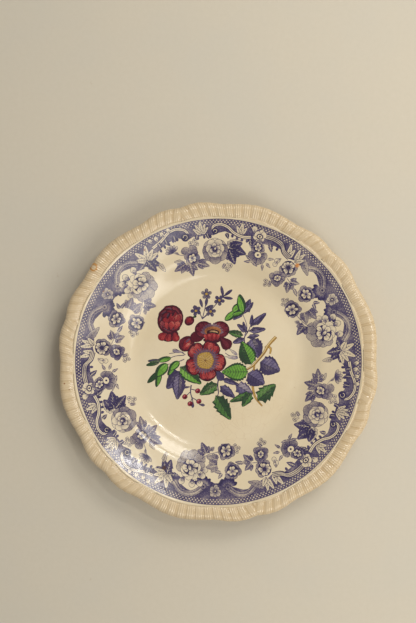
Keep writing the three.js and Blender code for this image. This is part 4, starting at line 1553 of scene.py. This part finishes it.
def draw_open_rose(bouquet):
    """Five broad petals, each laid in long strokes, round a tuft of fine claret ones."""
    bouquet.begin("open_rose_enamel")
    petal = bouquet.petal
    x, y = OPEN_ROSE
    bouquet.line_pigment = ROSE_DARK
    bouquet.oval(x, y, 10.4, 10.4, 0, ROSE_DEEP, 0.9, 0.6)
    for heading in (135, 279, 63, 207, 351):
        petal(x, y, heading, 17.8, 14.6, ROSE_DEEP, 1.0, 0.9, 0.7, 0.4, blunt=2.0, full=0.7, points=12)
        bouquet.oval(*ahead(x, y, heading, 10.8), 7.4, 6.0, heading + 90, ROSE_DEEP, 0.9, 0.6, 0.45)
        for lean in (-17, 0, 17):
            petal(x, y, heading + lean, 16.4, 6, ROSE, 1.0, 0.74, 0.8, 0, blunt=2.5, full=0.6)
        for lean, reach, width in ((-12, 15.6, 4.4), (8, 16.2, 5)):
            petal(x, y, heading + lean, reach, width, ROSE_LIGHT, 1.0, 0.66, 0.7, 0, blunt=2.8, full=0.6)
        for lean in (-24, -8, 3, 17, 26):
            petal(x, y, heading + lean, 13.4, 0.8, ROSE_DARK, 0.9, 0.8, 0, 0, blunt=1.4, points=5)
    for cover, reach, width, count in ((0.8, 11.6, 1.5, 30), (0.78, 9.8, 2.6, 24)):
        for i in range(count):
            far = reach * (1 + 0.08 * math.sin(7 * i))
            petal(x, y, 360 * i / count + 4, far, width, PLUM, 0.9, cover, 0.7, 0, blunt=2.2, points=6)


def draw_stamens(bouquet):
    """The open rose's yellow heart, its edge beaded and its middle stippled."""
    bouquet.begin("open_rose_stamens")
    bouquet.line_pigment = STAMEN_DARK
    x, y = OPEN_ROSE
    for i in range(22):
        bead = ahead(x, y, 360 * i / 22, 6.5 + 0.35 * math.sin(5 * i))
        bouquet.oval(*bead, 0.95, 0.8, 0, STAMEN, 0.7, 0.2, 0.22)
    bouquet.oval(x, y, 6.1, 6.0, 0, STAMEN, 0.6, 0.3)
    for radius, count, cover in ((4.9, 16, 0.62), (3.5, 11, 0.7), (2.1, 7, 0.85)):
        for i in range(count):
            dot = ahead(x, y, 360 * (i + 0.4 * radius) / count, radius)
            bouquet.oval(*dot, 0.5, 0.42, 0, STAMEN_DARK, cover, 0.2)
    bouquet.oval(x, y, 1.2, 1.1, 0, STAMEN_DARK, 0.8)


def build_bouquet():
    """Each shape laid down goes to its own piece, and what lies under another is cut away."""
    bouquet = Bouquet(VIOLET_DARK)
    for draw_part in (
        draw_stems, draw_cluster, draw_spray, draw_low_twig, draw_violet_leaves, draw_greenery,
        draw_high_twig, draw_berries, draw_rosebuds, draw_peony, draw_cup_rose, draw_open_rose, draw_stamens,
    ):
        draw_part(bouquet)
    points, kept = cut_net(bouquet.shapes)
    materials = {}
    for slot, roughness, hatch_pitch, dark in (
        ("violet_print", 0.1, 0.8, VIOLET_DARK), ("rose_enamel", 0.12, 0.9, ROSE_DARK),
        ("stamen_enamel", 0.14, 0.7, STAMEN_DARK), ("green_enamel", 0.12, 0.9, GREEN_DARK),
        ("ochre_enamel", 0.14, 0.8, STAMEN_DARK),
    ):
        materials[slot] = paint_material(slot, roughness, hatch_pitch, dark, raised=slot != "violet_print")
    others = {"violet": "violet_print", "green": "green_enamel", "ochre": "ochre_enamel"}
    for node in dict.fromkeys(shape.film for shape in bouquet.shapes):
        slot = others.get(node.split("_")[0], "rose_enamel")
        slot = "stamen_enamel" if node == "open_rose_stamens" else slot
        own = [(triangle, shape) for triangle, shape in kept if shape.film == node]
        piece = film_piece(f"fine_{node}", points, own, INK_FILM if slot == "violet_print" else ENAMEL_FILM)
        keep(piece, materials[slot], slot, node)


# ---- Floor, light and camera -----------------------------------------------------------------------------

FLOOR_SIZE = 60.0
WARM_WHITE = (1.0, 0.97, 0.92)
SKY_COLOUR = (1.0, 0.97, 0.93, 1)
SKY_STRENGTH = 0.33
# Two windows and the bright walls round them, placed by where the glaze mirrors them, and low light beyond.
# For each: name, azimuth, angle from upright, distance, width and height in metres, and power.
LIGHTS = (
    ("window_lower_right", -42, 43, 1.3, 0.52, 0.42, 3.3),
    ("wall_lower_right", -45, 27, 1.3, 0.75, 0.26, 1.7),
    ("window_upper_right", 56, 43, 1.3, 0.52, 0.36, 4.1),
    ("pane_upper_right", 49, 23.5, 1.3, 0.3, 0.11, 1.25),
    ("bright_pane", 44, 23, 1.3, 0.06, 0.05, 0.22),
    ("low_lower_right", -36, 58, 0.9, 0.7, 0.5, 1.2),
    ("low_upper_right", 50, 58, 0.9, 0.7, 0.5, 1.2),
)
CAMERA_OVER = (-8.7, 42.4)  # the point that the camera looks down on
CAMERA_HEIGHT = 1.022
LENS = 68.6


def build_floor():
    half = FLOOR_SIZE / 2 / MM
    corners = [(-half, -half, 0), (half, -half, 0), (half, half, 0), (-half, half, 0)]
    floor = mesh_from("floor", corners, [(0, 1, 2, 3)])
    floor.data.materials.append(floor_material())


def window_light(name, azimuth, from_vertical, distance, width, height, power):
    """A soft light, as wide and tall as a window, aimed at the middle of the plate."""
    light = bpy.data.lights.new(name, "AREA")
    light.shape = "RECTANGLE"
    light.size, light.size_y = width, height
    light.energy = power
    light.color = WARM_WHITE
    lamp = bpy.data.objects.new(name, light)
    up, side = polar(from_vertical, distance)
    lamp.location = (*polar(azimuth, side), up)
    lamp.rotation_euler = Vector(lamp.location).to_track_quat("Z", "Y").to_euler()
    lamp.visible_camera = False
    bpy.context.scene.collection.objects.link(lamp)


def build_light():
    world = bpy.data.worlds.new("studio")
    world.use_nodes = True
    sky = world.node_tree.nodes["Background"]
    sky.inputs["Color"].default_value = SKY_COLOUR
    sky.inputs["Strength"].default_value = SKY_STRENGTH
    bpy.context.scene.world = world
    for light in LIGHTS:
        window_light(*light)
    bpy.context.scene.view_settings.view_transform = "Standard"


def build_camera():
    data = bpy.data.cameras.new("overhead")
    data.lens = LENS
    camera = bpy.data.objects.new("overhead", data)
    camera.location = (CAMERA_OVER[0] * MM, CAMERA_OVER[1] * MM, CAMERA_HEIGHT)
    bpy.context.scene.collection.objects.link(camera)
    bpy.context.scene.camera = camera


def keep(piece, material, slot, *nodes):
    """Gives a finished piece its material, hangs it under the root, and hides the CAD parts that it stands in
    for. The slot is not used.
    """
    piece.data.materials.append(material)
    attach(piece, ROOT)
    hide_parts(*nodes)


build_floor()
build_light()
build_camera()

glaze = glaze_material()
keep(build_coat(), glaze, "glaze", "glaze_coat")
keep(build_body(), biscuit_material(), "biscuit", "earthenware_body")
keep(build_underside(), glaze, "glaze", "underside_glaze")
build_border()
build_bouquet()
